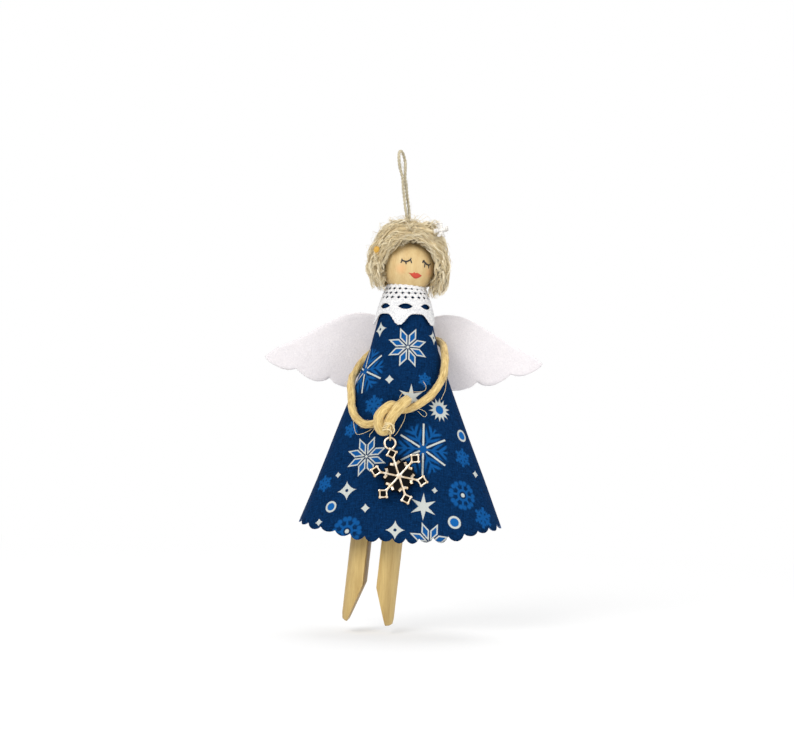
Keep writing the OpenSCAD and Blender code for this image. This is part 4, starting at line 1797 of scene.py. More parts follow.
@dataclass
class LaceCollar:
    """White lace round the neck: mesh rows, eyelets and a scalloped edge."""

    tips: int = 5
    tip_turn: float = -11.0
    tip_z: float = -10.6
    arch: float = 3.2
    eyelets: int = 7
    eyelet_z: float = -5.45
    eyelet_half: Flat = (0.32, 0.84)
    waves: int = 21
    rows: tuple[float, ...] = (0.3, -0.98, -2.24, -3.5)
    wave: float = 0.27
    thread_half: float = 0.51
    top_edge: float = 0.52
    pressed: float = 0.55
    neck_r: float = 5.5
    shoulder_r: float = 6.85
    shoulder_z: float = -3.0
    flare: float = 0.28
    dense_top: float = -3.6
    dense_thick: float = 0.36
    flat: Flat = (0.0475, 0.0112)
    area: float = 0.00043
    threads: Sketch = field(default_factory=Sketch)

    def radius(self, z: float) -> float:
        """Gives the radius of the middle of the lace at a height.

        Args:
            z: The height.

        Returns:
            The radius.
        """
        if z > self.shoulder_z:
            share = (self.rows[0] - z) / (self.rows[0] - self.shoulder_z)
            return self.neck_r + (self.shoulder_r - self.neck_r) * share
        return self.shoulder_r + (self.shoulder_z - z) * self.flare

    def pressed_level(self, angle: float, height: float) -> float:
        """Gives the height of a row in a direction; the ball presses the top edge down on one side."""
        return height - self.pressed * max(0, cos(angle)) * smooth(-1.4, 0.5, height)

    def spot(self, angle: float, z: float, lift: float) -> Vector:
        """Gives a point of the lace, lifted off its middle."""
        r = self.radius(z) + lift
        return Vector((r * cos(angle), r * sin(angle), z))

    def thread(self, line: Sequence[Flat], wide: float, thick: float, lift: float) -> None:
        """Lays an endless thread on the lace.

        Args:
            line: Direction and height of each point of it.
            wide: Half width of the thread.
            thick: Half thickness of the thread.
            lift: Distance off the middle of the lace.
        """
        path = [self.spot(a, z, lift) for a, z in line]
        out = [Vector((cos(a), sin(a), 0.2)).normalized() for a, _ in line]
        self.threads.ring(path, out, wide, thick)

    def edge(self, angle: float) -> float:
        """Gives the height of the scalloped edge in a direction; -90 degrees is the front."""
        turn = self.tips * (angle + pi / 2 - radians(self.tip_turn)) / 2
        return self.tip_z + self.arch * (1.0 - abs(cos(turn)) ** 4.8)

    def opening(self, angle: float) -> float:
        """Gives the half height of the eyelet in a direction, 0 beside the eyelets."""
        share = (self.eyelets * (angle / TURN + 0.25) + 0.5) % 1.0 - 0.5
        return self.eyelet_half[1] * max(0, 1.0 - (share / self.eyelet_half[0]) ** 2)

    def mesh_rows(self) -> None:
        """Works the rows of wavy thread that leave round holes, and the bound top edge."""
        turns = turns_of(352)
        self.thread([(a, self.pressed_level(a, self.top_edge)) for a in turns], 0.26, 0.2, 0)
        for k, level in enumerate(self.rows):
            phase = pi * (k % 2 + 0.5)
            heights = [level + self.wave * cos(self.waves * a + phase) for a in turns]
            line = [(a, self.pressed_level(a, height)) for a, height in zip(turns, heights)]
            self.thread(line, self.thread_half, 0.22, 0)

    def bindings(self) -> None:
        """Binds the scalloped edge and the eyelets."""
        line = [(a, self.edge(a) + 0.1 + 0.1 * cos(TURN * i / 5)) for i, a in enumerate(turns_of(360))]
        self.thread(line, 0.32, 0.3, 0.02)
        self.thread([(a, height + 0.95) for a, height in line], 0.16, 0.14, 0.16)
        length, height = self.eyelet_half
        for eye in range(self.eyelets):
            line = []
            for t in turns_of(40):
                angle = TURN * (eye + length * 1.12 * cos(t)) / self.eyelets - pi / 2
                rise = math.copysign(abs(sin(t)) ** 1.3, sin(t)) * (height + 0.14)
                line.append((angle, self.eyelet_z + rise))
            self.thread(line, 0.2, 0.25, 0.06)

    def dense_work(self) -> Sketch:
        """Works the close part with its eyelets.

        Returns:
            Its sketch.
        """
        sketch = Sketch()
        upper, lower = 6, 9
        above: list[list[int]] = []
        below: list[list[int]] = []
        for j, turn in enumerate(turns_of(self.eyelets * 24)):
            angle = turn - pi / 2
            opened = self.opening(angle)
            top, foot = self.eyelet_z + opened, self.eyelet_z - opened
            ripple = 0.06 * cos(TURN * j / 3)
            steps = [self.dense_top + (top - self.dense_top) * r / upper for r in range(upper + 1)]
            above.append([sketch.add(self.spot(angle, z, ripple)) for z in steps])
            steps = [foot + (self.edge(angle) - foot) * r / lower for r in range(lower + 1)]
            below.append([sketch.add(self.spot(angle, z, ripple)) for z in steps])
            if opened == 0.0:
                below[-1][0] = above[-1][-1]
        sketch.grid(above + above[:1])
        sketch.grid(below + below[:1])
        return sketch

    def build(self) -> None:
        """Makes the collar."""
        white = LaceFinish().material()
        lace = self.dense_work().piece("lace_collar_work", white)
        Bench.apply(lace, "SOLIDIFY", thickness=self.dense_thick * MM, offset=0.0)
        self.mesh_rows()
        self.bindings()
        lace = Bench.join([lace, self.threads.piece("lace_threads", white)], "lace_collar_work")
        stands_for(lace, "lace", "lace_collar", body=Body.DOLL)


@dataclass
class FeltWings:
    """Wings cut in one piece from thick felt."""

    plane_y: float = 9.35
    plane_z: float = -18.0
    slope: float = math.atan(0.1091)
    spread: float = 1.03
    columns: int = 84
    rows: int = 9
    fibres: int = 520
    layers: Flats = ((0.34, 0), (0.09, 0.24), (0, 0.6), (0.09, 0.96), (0.34, 1.2))
    top: Flats = (
        (0, -13), (4, -11.6), (9, -8), (15.6, -7.9), (21.8, -10.6), (30.9, -15.8), (36.2, -18.2),
        (39.6, -20.8))
    scallops: tuple[Flats, ...] = (
        ((39.6, -20.8), (38.2, -22.4), (35.4, -23.9), (32.6, -24.5), (30.6, -24)),
        ((30.6, -24), (28.6, -25.8), (25.6, -27.3), (22.8, -27.4), (21, -26.4)),
        ((21, -26.4), (19.4, -28), (15.4, -29.1), (8, -29.4), (0, -29.4)),
    )
    flat: Flat = (0.0816, 0.0223)

    def edge(self, *parts: Sequence[Flat]) -> list[Vector]:
        """Draws an edge of one wing through its parts, from the middle outwards."""
        points = [p for part in parts for p in spline(part, 7)]
        return sorted(points, key=lambda p: p.x)

    def level(self, edge: Line, x: float) -> float:
        """Gives the height of an edge at an x.

        Args:
            edge: The edge of one wing.
            x: The x on either wing.

        Returns:
            The height.
        """
        after = next((i for i, p in enumerate(edge) if p.x >= abs(x)), len(edge) - 1)
        a, b = edge[max(after - 1, 0)], edge[after]
        return a.y if b.x == a.x else a.y + (b.y - a.y) * (abs(x) - a.x) / (b.x - a.x)

    def spot(self, x: float, z: float, depth: float) -> Vector:
        """Gives a point of the felt.

        Args:
            x: Its x on the cut.
            z: Its height on the cut.
            depth: Its depth behind the front.

        Returns:
            The point.
        """
        y = depth + 0.16 * noise.noise(Vector((x * 0.09, z * 0.09, 3)))
        run = (z - self.plane_z) * self.spread
        tilted = Matrix.Rotation(self.slope, 3, "X") @ Vector((x * self.spread, y, run))
        return tilted + Vector((0, self.plane_y, self.plane_z))

    def fuzz(self, rim: Sequence[Flat], felt: Material) -> Piece:
        """Raises short fibres along the cut edge.

        Args:
            rim: Outline of the wings.
            felt: Material of the fibres.

        Returns:
            The fibres.
        """
        draw = random.Random(7)
        sketch = Sketch()
        for _ in range(self.fibres):
            i = draw.randrange(len(rim))
            (x, z), (px, pz), (nx, nz) = rim[i], rim[i - 1], rim[(i + 1) % len(rim)]
            out = Vector((nz - pz, px - nx))
            if out.length < 1e-6:
                continue
            out.normalize()
            side = draw.uniform(-1.1, 1.1)
            depth = draw.uniform(0.05, 1.15)
            reach = draw.uniform(0.05, 0.2)
            way = out + Vector((-out.y, out.x)) * side
            shares = (-0.15, reach * 0.5, reach)
            line = [self.spot(x + way.x * far, z + way.y * far, depth + side * far) for far in shares]
            sketch.tube(line, [0.03, 0.025, 0.01], 3)
        return sketch.piece("felt_fibres", felt)

    def build(self) -> None:
        """Cuts the wings and raises their fuzz."""
        upper, lower = self.edge(self.top), self.edge(*self.scallops)
        reach = self.top[-1][0] - 0.12
        across = [reach * i / self.columns for i in range(-self.columns, self.columns + 1)]
        low = [self.level(lower, x) for x in across]
        high = [self.level(upper, x) for x in across]
        ends = list(zip(across, low, high))
        sketch = Sketch()
        loops: list[list[int]] = []
        for inset, depth in self.layers:
            shrink = 1.0 - inset / reach
            loop: list[int] = []
            for way, column in ((-1, ends), (1, ends[::-1])):
                for x, foot, head in column:
                    step = min(inset, 0.3 * (head - foot))
                    z = head - step if way > 0.0 else foot + step
                    wobble = 0.1 * noise.noise(Vector((x * 0.9, z * 0.9, depth * 2)))
                    loop.append(sketch.add(self.spot(x * shrink, z + wobble * way, depth)))
            loops.append(loop)
        sketch.grid(loops, around=True)
        even = [r / self.rows for r in range(1, self.rows)]
        shares = [share - 0.09 * sin(TURN * share) for share in even]
        for loop, (inset, depth) in ((loops[0], self.layers[0]), (loops[-1], self.layers[-1])):
            lines: list[list[int]] = []
            for i, (x, foot, head) in enumerate(ends):
                step = min(inset, 0.3 * (head - foot))
                heights = [foot + step + (head - foot - 2 * step) * share for share in shares]
                inside = [sketch.add(self.spot(x * (1.0 - inset / reach), z, depth)) for z in heights]
                lines.append([loop[i], *inside, loop[-1 - i]])
            sketch.grid(lines)
        felt = FeltFinish().material()
        wings = sketch.piece("felt_wing_pair", felt)
        Bench.mend(wings)
        rim = [*zip(across, low), *reversed(list(zip(across, high)))]
        wings = Bench.join([wings, self.fuzz(rim, felt)], "felt_wing_pair")
        area = sum((h - v) * reach / self.columns for h, v in zip(high, low)) * self.spread**2
        stands_for(wings, "felt", "felt_wings", body=Body.DOLL)
        area * MM * MM


@dataclass
class SnowflakeCharm:
    """Cast snowflake on a ring, and the thread that ties it to the hands."""

    radius: float = 8.7
    thick: float = 1.3
    bar: float = 1.05
    ridge: float = 0.4
    barb: float = 1.15
    barb_ridge: float = 0.64
    barb_root: float = 0.37
    barb_long: float = 0.235
    barb_sunk: float = 0.55
    barb_rise: float = 27.0
    diamond: float = 2.75
    frame: float = 0.8
    web_r: float = 4.3
    ring_r: float = 1.55
    wire_r: float = 0.4
    ring_gap: float = -0.65
    tilt: float = 17.0
    arm_turn: float = 2.5
    lean: float = 3.0
    grain: float = 0.11
    tie: Place = (-3.3, -14.44, -39.4)
    pin_z: float = -42.78
    link: Flats = (
        (0, 0), (1.5, -0.05), (2, -0.6), (1.5, -1.25), (0.3, -1.75), (0.5, -2.6), (0.42, -3.6), (0, -4),
        (-0.42, -3.6), (-0.5, -2.6), (-0.3, -1.75), (-1.5, -1.25), (-2, -0.6), (-1.5, -0.05))
    ply_out: float = 0.13
    ply_r: float = 0.17
    coil_r: float = 0.2
    thread: Finish = YarnFinish(
        "tie_thread", tint(226, 208, 164), tint(200, 178, 128), tint(150, 124, 80), 5)

    def bar_piece(self, wide: float, long: float, where: Matrix, ridge: float) -> Piece:
        """Casts one bar with a narrower ridge on both faces.

        Args:
            wide: Width of the bar at its middle.
            long: Length of the bar.
            where: Its place on the flake.
            ridge: Share of the width that the ridge keeps.

        Returns:
            The bar.
        """
        size = Matrix.Diagonal((wide, long, self.thick * 0.3, 1))
        start = moved((0, long / 2, 0)) @ size
        made = Bench.start(bpy.ops.mesh.primitive_cube_add, start, size=1.0)
        for side in (-1, 1):
            Bench.pick(made, lambda polygon: polygon.normal.z * side > 0.9)
            rise = (0, 0, side * self.thick * 0.35)
            bpy.ops.mesh.extrude_region_move(TRANSFORM_OT_translate={"value": rise})
            bpy.ops.transform.resize(value=(ridge, 1, 1))
            bpy.ops.object.mode_set(mode="OBJECT")
        made.data.transform(where)
        return made

    def plate(self, sides: int, radius: float, where: Matrix) -> Piece:
        """Casts a thin sunk plate, the ground of a hollow, which the finish leaves dark as patina and
        painted shade.

        Args:
            sides: Number of its sides.
            radius: Radius of its corners.
            where: Its place on the flake.

        Returns:
            The plate.
        """
        add = bpy.ops.mesh.primitive_circle_add
        made = Bench.start(add, vertices=sides, radius=radius, fill_type="NGON")
        Bench.pick(made, lambda polygon: True)
        bpy.ops.mesh.inset(thickness=0.3, depth=0.0)
        bpy.ops.mesh.select_all(action="SELECT")
        bpy.ops.mesh.extrude_region_move(TRANSFORM_OT_translate={"value": (0, 0, self.thick * 0.4)})
        Bench.mend(made)
        made.data.transform(where @ moved((0, 0, -self.thick * 0.2)))
        return made

    def arm(self) -> Piece:
        """Casts one arm with its barbs and its framed diamond.

        Returns:
            The arm.
        """
        eye = self.radius - self.diamond / math.sqrt(2) - 0.1
        at_eye = moved((0, eye, 0))
        root = moved((0, self.radius * self.barb_root, -self.barb_sunk))
        parts = [self.bar_piece(self.bar, eye - self.diamond / 2 - 0.1, Matrix.Identity(4), self.ridge)]
        for slant in (-60, 60):
            where = root @ turned(slant, "Z") @ turned(self.barb_rise, "X")
            parts.append(self.bar_piece(self.barb, self.radius * self.barb_long, where, self.barb_ridge))
        # sunk plate in the diamond, left dark as patina and painted shade
        parts.append(self.plate(4, self.diamond * 0.62, at_eye))
        wide = self.bar * self.frame
        edge = moved(((wide - self.diamond) / 2, -self.diamond / 2, 0))
        side = self.bar_piece(wide, self.diamond, at_eye @ turned(45, "Z") @ edge, self.ridge)
        parts.append(side)
        for quarter in (90, 180, 270):
            parts.append(Bench.copy(side, at_eye @ turned(quarter, "Z") @ at_eye.inverted()))
        return Bench.join(parts, "snowflake_arm")

    def flake(self) -> Piece:
        """Casts the six arms, the web and the ring in one.

        Returns:
            The flake.
        """
        arm = self.arm()
        arm.data.transform(turned(self.arm_turn, "Z"))
        pieces = [arm, *(Bench.copy(arm, turned(60.0 * k, "Z")) for k in range(1, 6))]
        # sunk web between the arms, left dark as patina and painted shade
        pieces.append(self.plate(6, self.web_r, turned(30.0 + self.arm_turn, "Z")))
        pieces.append(
            Bench.start(
                bpy.ops.mesh.primitive_torus_add,
                moved((0, self.ring_out(), 0)),
                major_radius=self.ring_r,
                minor_radius=self.wire_r,
                major_segments=48,
                minor_segments=14,
            )
        )
        flake = Bench.join(pieces, "cast_snowflake")
        Bench.apply(flake, "REMESH", mode="VOXEL", voxel_size=self.grain)
        Bench.apply(flake, "SMOOTH", factor=0.5, iterations=2)
        return flake

    def ring_out(self) -> float:
        """Gives the distance of the ring's middle from the middle of the flake."""
        return self.radius + self.ring_r + self.ring_gap

    def build(self) -> None:
        """Hangs the charm on its thread."""
        x, y, _ = self.tie
        hung = moved((x, y, self.pin_z)) @ turned(-self.lean, "X")
        swung = moved((0, 0, -self.ring_r)) @ turned(-self.tilt, "Y") @ turned(90, "X")
        place = hung @ swung @ moved((0, -self.ring_out(), 0))
        ring = place @ Vector((0, self.ring_out(), 0))
        facing = place.to_3x3() @ Vector((0, 0, 1))
        spots = (tuple(place.translation - HOOK), tuple(ring - HOOK), tuple(facing))
        flake = self.flake()
        Bench.seat(flake, place, AntiqueSilverFinish("antique_silver", *spots).material(), 60)
        stands_for(flake, "antique_silver", "snowflake_charm", body=Body.CHARM)
        self.tie_thread()

    def tie_thread(self) -> None:
        """Loops the thread round the knot, binds it and leads it through the ring."""
        sketch = Sketch()
        top = Vector(self.tie)
        line = spline([top + Vector((0, a, b)) for a, b in self.link + self.link[:1]], 5)
        frames = carried_frames(line)
        for ply in range(2):
            around = [towards(frame, i * 0.9 + pi * ply) for i, frame in enumerate(frames)]
            twisted = [p + out * self.ply_out for p, out in zip(line, around)]
            sketch.tube(twisted, [self.ply_r] * len(twisted), 6)
        turns = [0.5 * k for k in range(30)]
        coil = [top + Vector((0.5 * cos(t), 0.62 * sin(t), -1.45 - 0.065 * t)) for t in turns]
        sketch.tube(coil, [self.coil_r] * len(coil), 6)
        thread = sketch.piece("tie_thread_link", self.thread.material())
        stands_for(thread, "tie_thread", "charm_thread", body=Body.THREAD)


@dataclass
class Mohair:
    """Curly mohair glued to the head; guides are in head radii from its middle, with a thickness."""

    left_lock: Guide = (
        (0.36, -0.86, 1.14, 0.16), (-0.3, -0.95, 1.06, 0.24), (-0.88, -0.84, 0.62, 0.23),
        (-1.14, -0.72, 0.1, 0.25), (-1.19, -0.62, -0.36, 0.25), (-1.04, -0.62, -0.8, 0.2))
    right_lock: Guide = (
        (0.1, -0.9, 1.1, 0.16), (0.5, -0.93, 1.03, 0.23), (1, -0.8, 0.7, 0.21),
        (1.27, -0.62, 0.15, 0.22), (1.29, -0.56, -0.4, 0.23), (1.16, -0.58, -1.06, 0.16))
    nape_lock: Guide = (
        (0.9, 0.05, 0.7, 0.2), (1.04, 0, 0.1, 0.22), (1.04, -0.12, -0.45, 0.2), (0.94, -0.28, -1.16, 0.1))
    sweeps: tuple[Guide, ...] = (
        ((0.1, -0.66, 1.32, 0.2), (-0.5, -0.76, 1.24, 0.25), (-1.02, -0.5, 0.84, 0.22),
         (-1.26, -0.34, 0.25, 0.26), (-1.34, -0.34, -0.2, 0.28), (-1.1, -0.4, -0.78, 0.2)),
        ((0, -0.34, 1.46, 0.22), (-0.6, -0.4, 1.36, 0.25), (-1.04, -0.2, 0.9, 0.22),
         (-1.28, -0.05, 0.3, 0.24), (-1.32, 0, -0.25, 0.26), (-1.12, 0.05, -0.8, 0.2)),
        ((0.1, -0.66, 1.34, 0.2), (0.68, -0.7, 1.24, 0.24), (1.08, -0.5, 0.84, 0.22),
         (1.25, -0.38, 0.25, 0.22), (1.27, -0.38, -0.4, 0.22), (1.2, -0.46, -0.92, 0.18)),
        ((0.1, -0.34, 1.48, 0.22), (0.76, -0.36, 1.36, 0.25), (1.12, -0.2, 0.92, 0.22),
         (1.26, -0.08, 0.3, 0.22), (1.26, -0.02, -0.3, 0.22), (1.18, 0, -0.85, 0.18)),
    )
    corners: tuple[Guide, ...] = (
        ((0, -0.4, 1.36, 0.2), (-0.44, -0.4, 1.55, 0.17), (-0.78, -0.3, 1.74, 0.06)),
        ((0.3, -0.4, 1.36, 0.2), (0.74, -0.4, 1.51, 0.17), (1.1, -0.3, 1.7, 0.06)),
    )
    dome: Flats = (
        (0.02, 1.52), (0.5, 1.5), (0.95, 1.28), (1.2, 0.84), (1.33, 0.32), (1.36, -0.1), (1.26, -0.5),
        (1.04, -0.92))
    hairline: Flats = (
        (-0.8, -0.58), (-0.83, -0.04), (-0.73, 0.34), (-0.29, 0.74), (0.15, 0.84), (0.6, 0.7), (0.92, 0.28),
        (0.96, -0.2))
    crown_tufts: int = 380
    sweep_tufts: int = 45
    corner_tufts: int = 8
    lock_tufts: int = 105
    nape_tufts: int = 46
    per_tuft: int = 4
    window: int = 15
    wisp_count: int = 260
    fringe_count: int = 260
    core: float = 0.66
    corner_core: float = 0.05
    # tone of the lock cores, dark as painted shade inside the locks
    core_shade_tone: float = 0.24
    draw: random.Random = field(default_factory=lambda: random.Random(20))
    sketch: Sketch = field(default_factory=Sketch)

    def strand(self, line: Line, thick: float, tone: float) -> None:
        """Draws one tapering strand.

        Args:
            line: Its middle line.
            thick: Its radius at the root.
            tone: Its shade.
        """
        last = len(line) - 1
        radii = [thick * (1.0 - 0.75 * (i / last) ** 2) for i in range(last + 1)]
        self.sketch.tube(line, radii, 3, min(1, max(0, tone)))

    def lock(self, guide: Sequence[Thick], tufts: int, core: float) -> None:
        """Fills a lock with curling tufts over a core toned dark as painted shade; strands nearer the middle
        are toned darker as painted shade.

        Args:
            guide: Middle of the lock in head radii, with its thickness.
            tufts: Number of tufts.
            core: Thickness of the core as a share of the lock.
        """
        draw = self.draw
        steps = 9
        middle = spline([HEAD_CENTRE + Vector(g[:3]) * HEAD_R for g in guide], steps)
        girth = [v.x for v in spline([(g[3] * HEAD_R, 0) for g in guide], steps)]
        frames = carried_frames(middle)
        tapers = [1.0 - 0.92 * smooth(0.6, 1, i / len(girth)) for i in range(0, len(girth), 3)]
        self.sketch.tube(
            middle[::3],
            [g * core * taper for g, taper in zip(girth[::3], tapers)],
            9,
            self.core_shade_tone,
            lambda run, angle: 1.0 + 0.14 * sin(3 * angle + run) + 0.1 * sin(2.1 * run),
        )
        for _ in range(tufts):
            reach = 0.25 + 0.7 * math.sqrt(draw.random())
            angle = draw.uniform(0, TURN)
            first = draw.randrange(-5, len(middle) - self.window + 2)
            pace = draw.uniform(0.34, 0.66)
            phase = draw.uniform(0, TURN)
            swing = draw.uniform(0.35, 0.95)
            spin = draw.choice((-1, 1))
            shade = draw.uniform(-0.3, 0.3)
            for _ in range(self.per_tuft):
                off = Vector((draw.gauss(0, 0.17), draw.gauss(0, 0.17)))
                late = phase + draw.gauss(0, 0.3)
                line: list[Vector] = []
                for k in range(max(0, first), min(len(middle), first + self.window + draw.randrange(0, 3))):
                    wave = late + pace * k
                    a = reach * girth[k] * cos(angle) + swing * cos(wave) + off.x
                    b = reach * girth[k] * sin(angle) + spin * swing * 0.8 * sin(wave) + off.y
                    line.append(middle[k] + frames[k][0] * a + frames[k][1] * b)
                # painted shade: strands nearer the middle of the lock are toned darker
                tone = 0.2 + 0.55 * reach + shade + draw.uniform(-0.12, 0.26)
                self.strand(line, draw.uniform(0.06, 0.115), tone)

    def on_dome(self, angle: float, share: float, depth: float) -> Vector:
        """Gives a point of the hair over the crown and down the back.

        Args:
            angle: Direction round the head; -90 degrees is the front.
            share: From 0 at the crown to 1 at the nape.
            depth: 1 on the outside, less within.

        Returns:
            The point.
        """
        last = len(self.dome) - 1
        spot = min(max(share, 0), 0.999) * last
        i = int(spot)
        t = spot - i
        before, a, b, after = (Vector(self.dome[min(max(k, 0), last)]) for k in range(i - 1, i + 3))
        p = a + (b - before) * 0.5 * (t - 2 * t**2 + t**3) + (b - a) * (3 * t**2 - 2 * t**3)
        p += (after - a) * 0.5 * (t**3 - t**2)
        lump = 1.0 + 0.06 * noise.noise(Vector((cos(angle) * 2, sin(angle) * 2, p.y * 2)))
        out = p.x * depth * lump * HEAD_R
        rise = p.y * HEAD_R * (0.4 + 0.6 * depth) * lump
        return HEAD_CENTRE + Vector((out * cos(angle), out * sin(angle), rise))

    def shaded_underlayer(self, first: float, last: float, end: float) -> None:
        """Lays the underside of the hair, toned dark as painted shade under the strands.

        Args:
            first: First direction in degrees.
            last: Last direction in degrees.
            end: Its lower end as a share of the dome.
        """
        around, down = 60, 16
        lines: list[list[int]] = []
        for i in range(around + 1):
            angle = radians(first + (last - first) * i / around)
            line: list[int] = []
            for j in range(down + 1):
                streak = noise.noise(Vector((angle * 9, 2.4 * j / down, 0.7)))
                place = self.on_dome(angle, end * j / down, 0.88 + 0.03 * streak)
                # painted shade: the underlayer's points are toned dark, with random streaks
                line.append(self.sketch.add(place, 0.3 + 0.3 * streak))
            lines.append(line)
        self.sketch.grid(lines)

    def crown(self) -> None:
        """Covers the crown, sides and back with curling tufts."""
        draw = self.draw
        self.shaded_underlayer(-30, 210, 0.94)
        self.shaded_underlayer(-150, -30, 0.3)
        for tuft in range(self.crown_tufts):
            front = tuft % 5 == 0
            angle = radians(draw.uniform(-150, -30) if front else draw.uniform(-40, 220))
            start = draw.uniform(0, 0.12) if front else draw.uniform(0, 0.72)
            fall = 0.24 if front else draw.uniform(0.24, 0.4)
            depth = draw.uniform(0.93, 1.03)
            pace = draw.uniform(0.36, 0.66) * 15
            phase = draw.uniform(0, TURN)
            drift = draw.uniform(-0.8, 0.8)
            swing = draw.uniform(0.03, 0.085)
            shade = draw.uniform(-0.3, 0.3)
            for _ in range(self.per_tuft):
                aside = draw.gauss(0, 0.034)
                late = phase + draw.gauss(0, 0.3)
                sunk = draw.gauss(0, 0.016)
                line: list[Vector] = []
                for t in (k / 9 for k in range(10)):
                    wave = late + pace * t
                    turn = angle + drift * t + aside + swing * cos(wave)
                    if not front:
                        turn = min(max(turn, radians(-36)), radians(216))
                    line.append(self.on_dome(turn, start + fall * t, depth + sunk + 0.05 * sin(wave)))
                # painted shade: strands that lie deeper in the hair are toned darker
                tone = 0.48 + (depth - 0.98) * 3.0 + shade + draw.uniform(-0.14, 0.2)
                self.strand(line, draw.uniform(0.06, 0.115), tone)

    def fringe(self) -> None:
        """Glues a row of strands along the hairline, where the mohair leaves the wood."""
        draw = self.draw
        edge = spline(self.hairline, 12)
        for _ in range(self.fringe_count):
            spot = edge[draw.randrange(len(edge))] * draw.uniform(0.97, 1.04)
            flat = min(0.985, math.hypot(spot.x, spot.y))
            foot = Vector((spot.x, -math.sqrt(1.0 - flat**2), spot.y)).normalized() * 1.02
            away = Vector((spot.x, 0, spot.y)).normalized() * draw.uniform(1.12, 1.3)
            away.y = draw.uniform(-0.6, -0.3)
            bend = (foot * 0.6 + away * 0.4).normalized() * draw.uniform(1.12, 1.26)
            phase = draw.uniform(0, TURN)
            line: list[Vector] = []
            for k in range(9):
                t = k / 8
                p = foot * (1 - t) ** 2 + bend * 2 * t * (1 - t) + away * t**2
                sway = 0.03 * sin(phase + k)
                line.append(HEAD_CENTRE + (p + Vector((sway, 0, -sway))) * HEAD_R)
            self.strand(line, draw.uniform(0.07, 0.12), draw.uniform(0.2, 0.75))

    def wisps(self) -> None:
        """Lets loose hairs stand off the crown and the sides."""
        draw = self.draw
        for wisp in range(self.wisp_count):
            front = wisp % 4 == 0
            angle = radians(draw.uniform(-150, -30) if front else draw.uniform(-30, 210))
            base = self.on_dome(angle, draw.uniform(0, 0.16 if front else 0.75), 0.98)
            out = (base - HEAD_CENTRE).normalized()
            aside = Vector((draw.gauss(0, 1), draw.gauss(0, 1), draw.gauss(0, 0.6)))
            aside = (aside - out * aside.dot(out)).normalized()
            reach = draw.uniform(1.8, 5)
            lift = draw.uniform(0.15, 0.75) * reach
            rises = [lift * sin(k * 0.24) + 0.16 * sin(k * 1.3) for k in range(10)]
            line = [base + aside * reach * k / 9 + out * rise for k, rise in enumerate(rises)]
            self.strand(line, 0.06, draw.uniform(0.35, 0.8))

    def glue(self, name: str, hair: Material, node: str) -> None:
        """Glues on the strands that are ready and starts afresh."""
        stands_for(self.sketch.piece(name, hair), "mohair", node, body=Body.DOLL)
        self.sketch = Sketch()

    def build(self) -> None:
        """Makes the hair over the head and its two locks."""
        hair = HairFinish().material()
        self.crown()
        self.wisps()
        self.fringe()
        for guide in self.sweeps:
            self.lock(guide, self.sweep_tufts, self.core)
        for guide in self.corners:
            self.lock(guide, self.corner_tufts, self.corner_core)
        self.glue("mohair_cap", hair, "hair_cap")
        self.lock(self.left_lock, self.lock_tufts, self.core)
        self.glue("mohair_left_lock", hair, "left_hair_lock")
        self.lock(self.right_lock, self.lock_tufts, self.core)
        self.lock(self.nape_lock, self.nape_tufts, self.core)
        self.glue("mohair_right_lock", hair, "right_hair_lock")


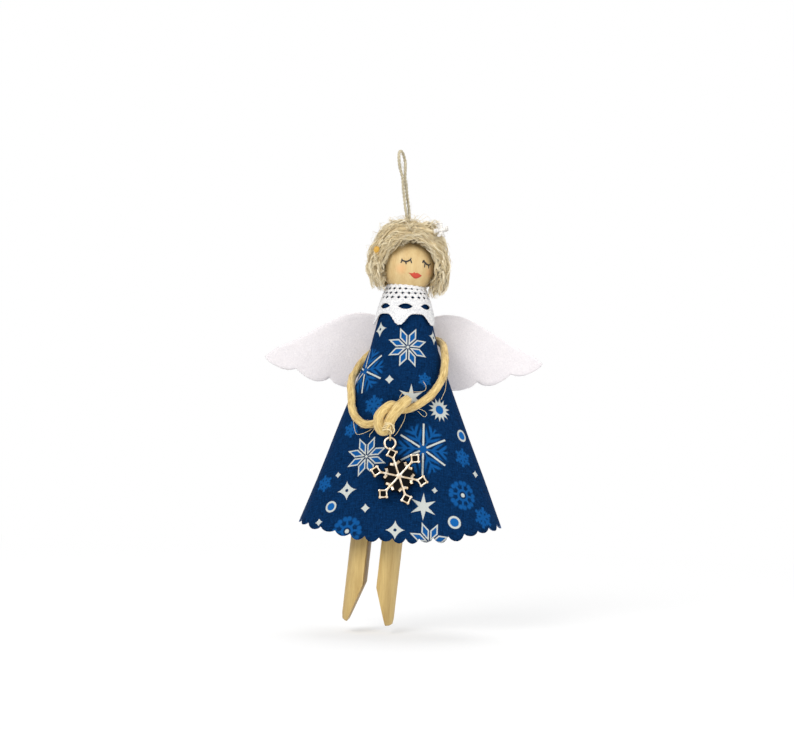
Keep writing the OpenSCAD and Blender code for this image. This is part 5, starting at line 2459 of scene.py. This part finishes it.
@dataclass
class RibbonBow:
    """White ribbon bow in the hair; a loop has its turn, length, puff and roll, and a tail no puff."""

    place: Place = (9, -6, 10.2)
    facing: Place = (0.35, -0.85, 0.4)
    upright: Place = (0.1, 0.1, 1)
    loops: Guide = (
        (102, 2.5, 0.7, 0.5), (28, 2.4, 0.75, -0.55), (200, 2.3, 0.7, 0.6), (-58, 2.1, 0, 0.4),
        (-112, 2.2, 0, -0.5))
    tail_wave: float = 0.2
    wide: float = 1.25
    half_thick: float = 0.08
    knot: Flats = ((-0.6, 0.34), (-0.3, 0.55), (0, 0.62), (0.3, 0.55), (0.6, 0.34))

    def ribbon(self, sketch: Sketch, line: Line, across: Vector) -> None:
        """Lays a strip of ribbon along a line.

        Args:
            sketch: Sketch that takes the ribbon.
            line: Middle of the ribbon.
            across: Direction of its width.
        """
        last = len(line) - 1
        rings: list[list[int]] = []
        for i, p in enumerate(line):
            along = (line[min(i + 1, last)] - line[max(i - 1, 0)]).normalized()
            side = along.cross(across).normalized() * self.half_thick
            pinch = 0.55 + 0.45 * sin(pi * min(0.85, max(0.15, i / last)))
            half = across * self.wide / 2 * pinch
            rings.append([sketch.add(p + q) for q in (half + side, side - half, -half - side, half - side)])
        sketch.loft(rings, runs_of(line))

    def build(self) -> None:
        """Ties the bow."""
        sketch = Sketch()
        centre = HEAD_CENTRE + Vector(self.place)
        out = Vector(self.facing).normalized()
        upright = Vector(self.upright)
        up = (upright - out * out.dot(upright)).normalized()
        aside = up.cross(out)
        for turn, long, puff, roll in self.loops:
            away = towards((aside, up), radians(turn))
            steps = 16 if puff else 8
            line: list[Vector] = []
            for t in (k / steps for k in range(steps + 1)):
                reach = long * (sin(pi * t) if puff else t)
                line.append(centre + away * reach + out * (puff or self.tail_wave) * sin(TURN * t))
            self.ribbon(sketch, line, towards((away.cross(out), out), roll))
        sketch.tube([centre + up * t + out * 0.3 for t, _ in self.knot], [r for _, r in self.knot], 8)
        bow = sketch.piece("ribbon_bow", SatinFinish().material())
        stands_for(bow, "ribbon", "hair_bow", body=Body.DOLL)


@dataclass
class OchreBead:
    """Glazed bead in the hair, with its threading hole."""

    half: Place = (0.98, 0.98, 1.38)
    lean: Place = (0.2, -0.25, 0.3)
    out_of_hair: Place = (0.5, -2.2, -0.8)
    hole_edge: float = 0.93
    finish: Finish = GlossFinish("ochre_glaze", tint(198, 154, 50), tint(178, 130, 38), 0.32)

    def build(self) -> None:
        """Shapes the bead and sinks its hole."""
        bead = Bench.start(bpy.ops.mesh.primitive_uv_sphere_add, segments=32, ring_count=20, radius=1.0)
        bead.name = "ochre_bead"
        Bench.pick(bead, lambda polygon: abs(polygon.center.z) > self.hole_edge)
        bpy.ops.mesh.extrude_region_move(TRANSFORM_OT_translate={"value": (0, 0, 0)})
        bpy.ops.transform.resize(value=(0.8, 0.8, 0.45), center_override=(0, 0, 0))
        bpy.ops.object.mode_set(mode="OBJECT")
        Bench.apply(bead, "BEVEL", width=0.08, segments=2, limit_method="ANGLE", angle_limit=radians(40))
        low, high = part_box("yellow_bead")
        centre = (low + high) / 2 / MM + HOOK + Vector(self.out_of_hair)
        shape = Euler(self.lean).to_matrix().to_4x4() @ Matrix.Diagonal((*self.half, 1))
        Bench.seat(bead, moved(centre) @ shape, self.finish.material(), 50)
        stands_for(bead, "bead", "yellow_bead", body=Body.DOLL)


def write_size() -> None:
    """Updates the view layer.
    """
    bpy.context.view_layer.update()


def main() -> None:
    """Builds the ornament piece by piece."""
    logging.basicConfig(level=logging.INFO, format="%(message)s")
    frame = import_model()
    log.info("frame: %d nodes", len(frame["nodes"]))
    makers = (
        Studio(), HangingCord(), ArmCord(), PegDoll(), CottonDress(), LaceCollar(), FeltWings(),
        SnowflakeCharm(), Mohair(), RibbonBow(), OchreBead())
    for maker in makers:
        maker.build()
    write_size()


if __name__ == "__main__":
    main()
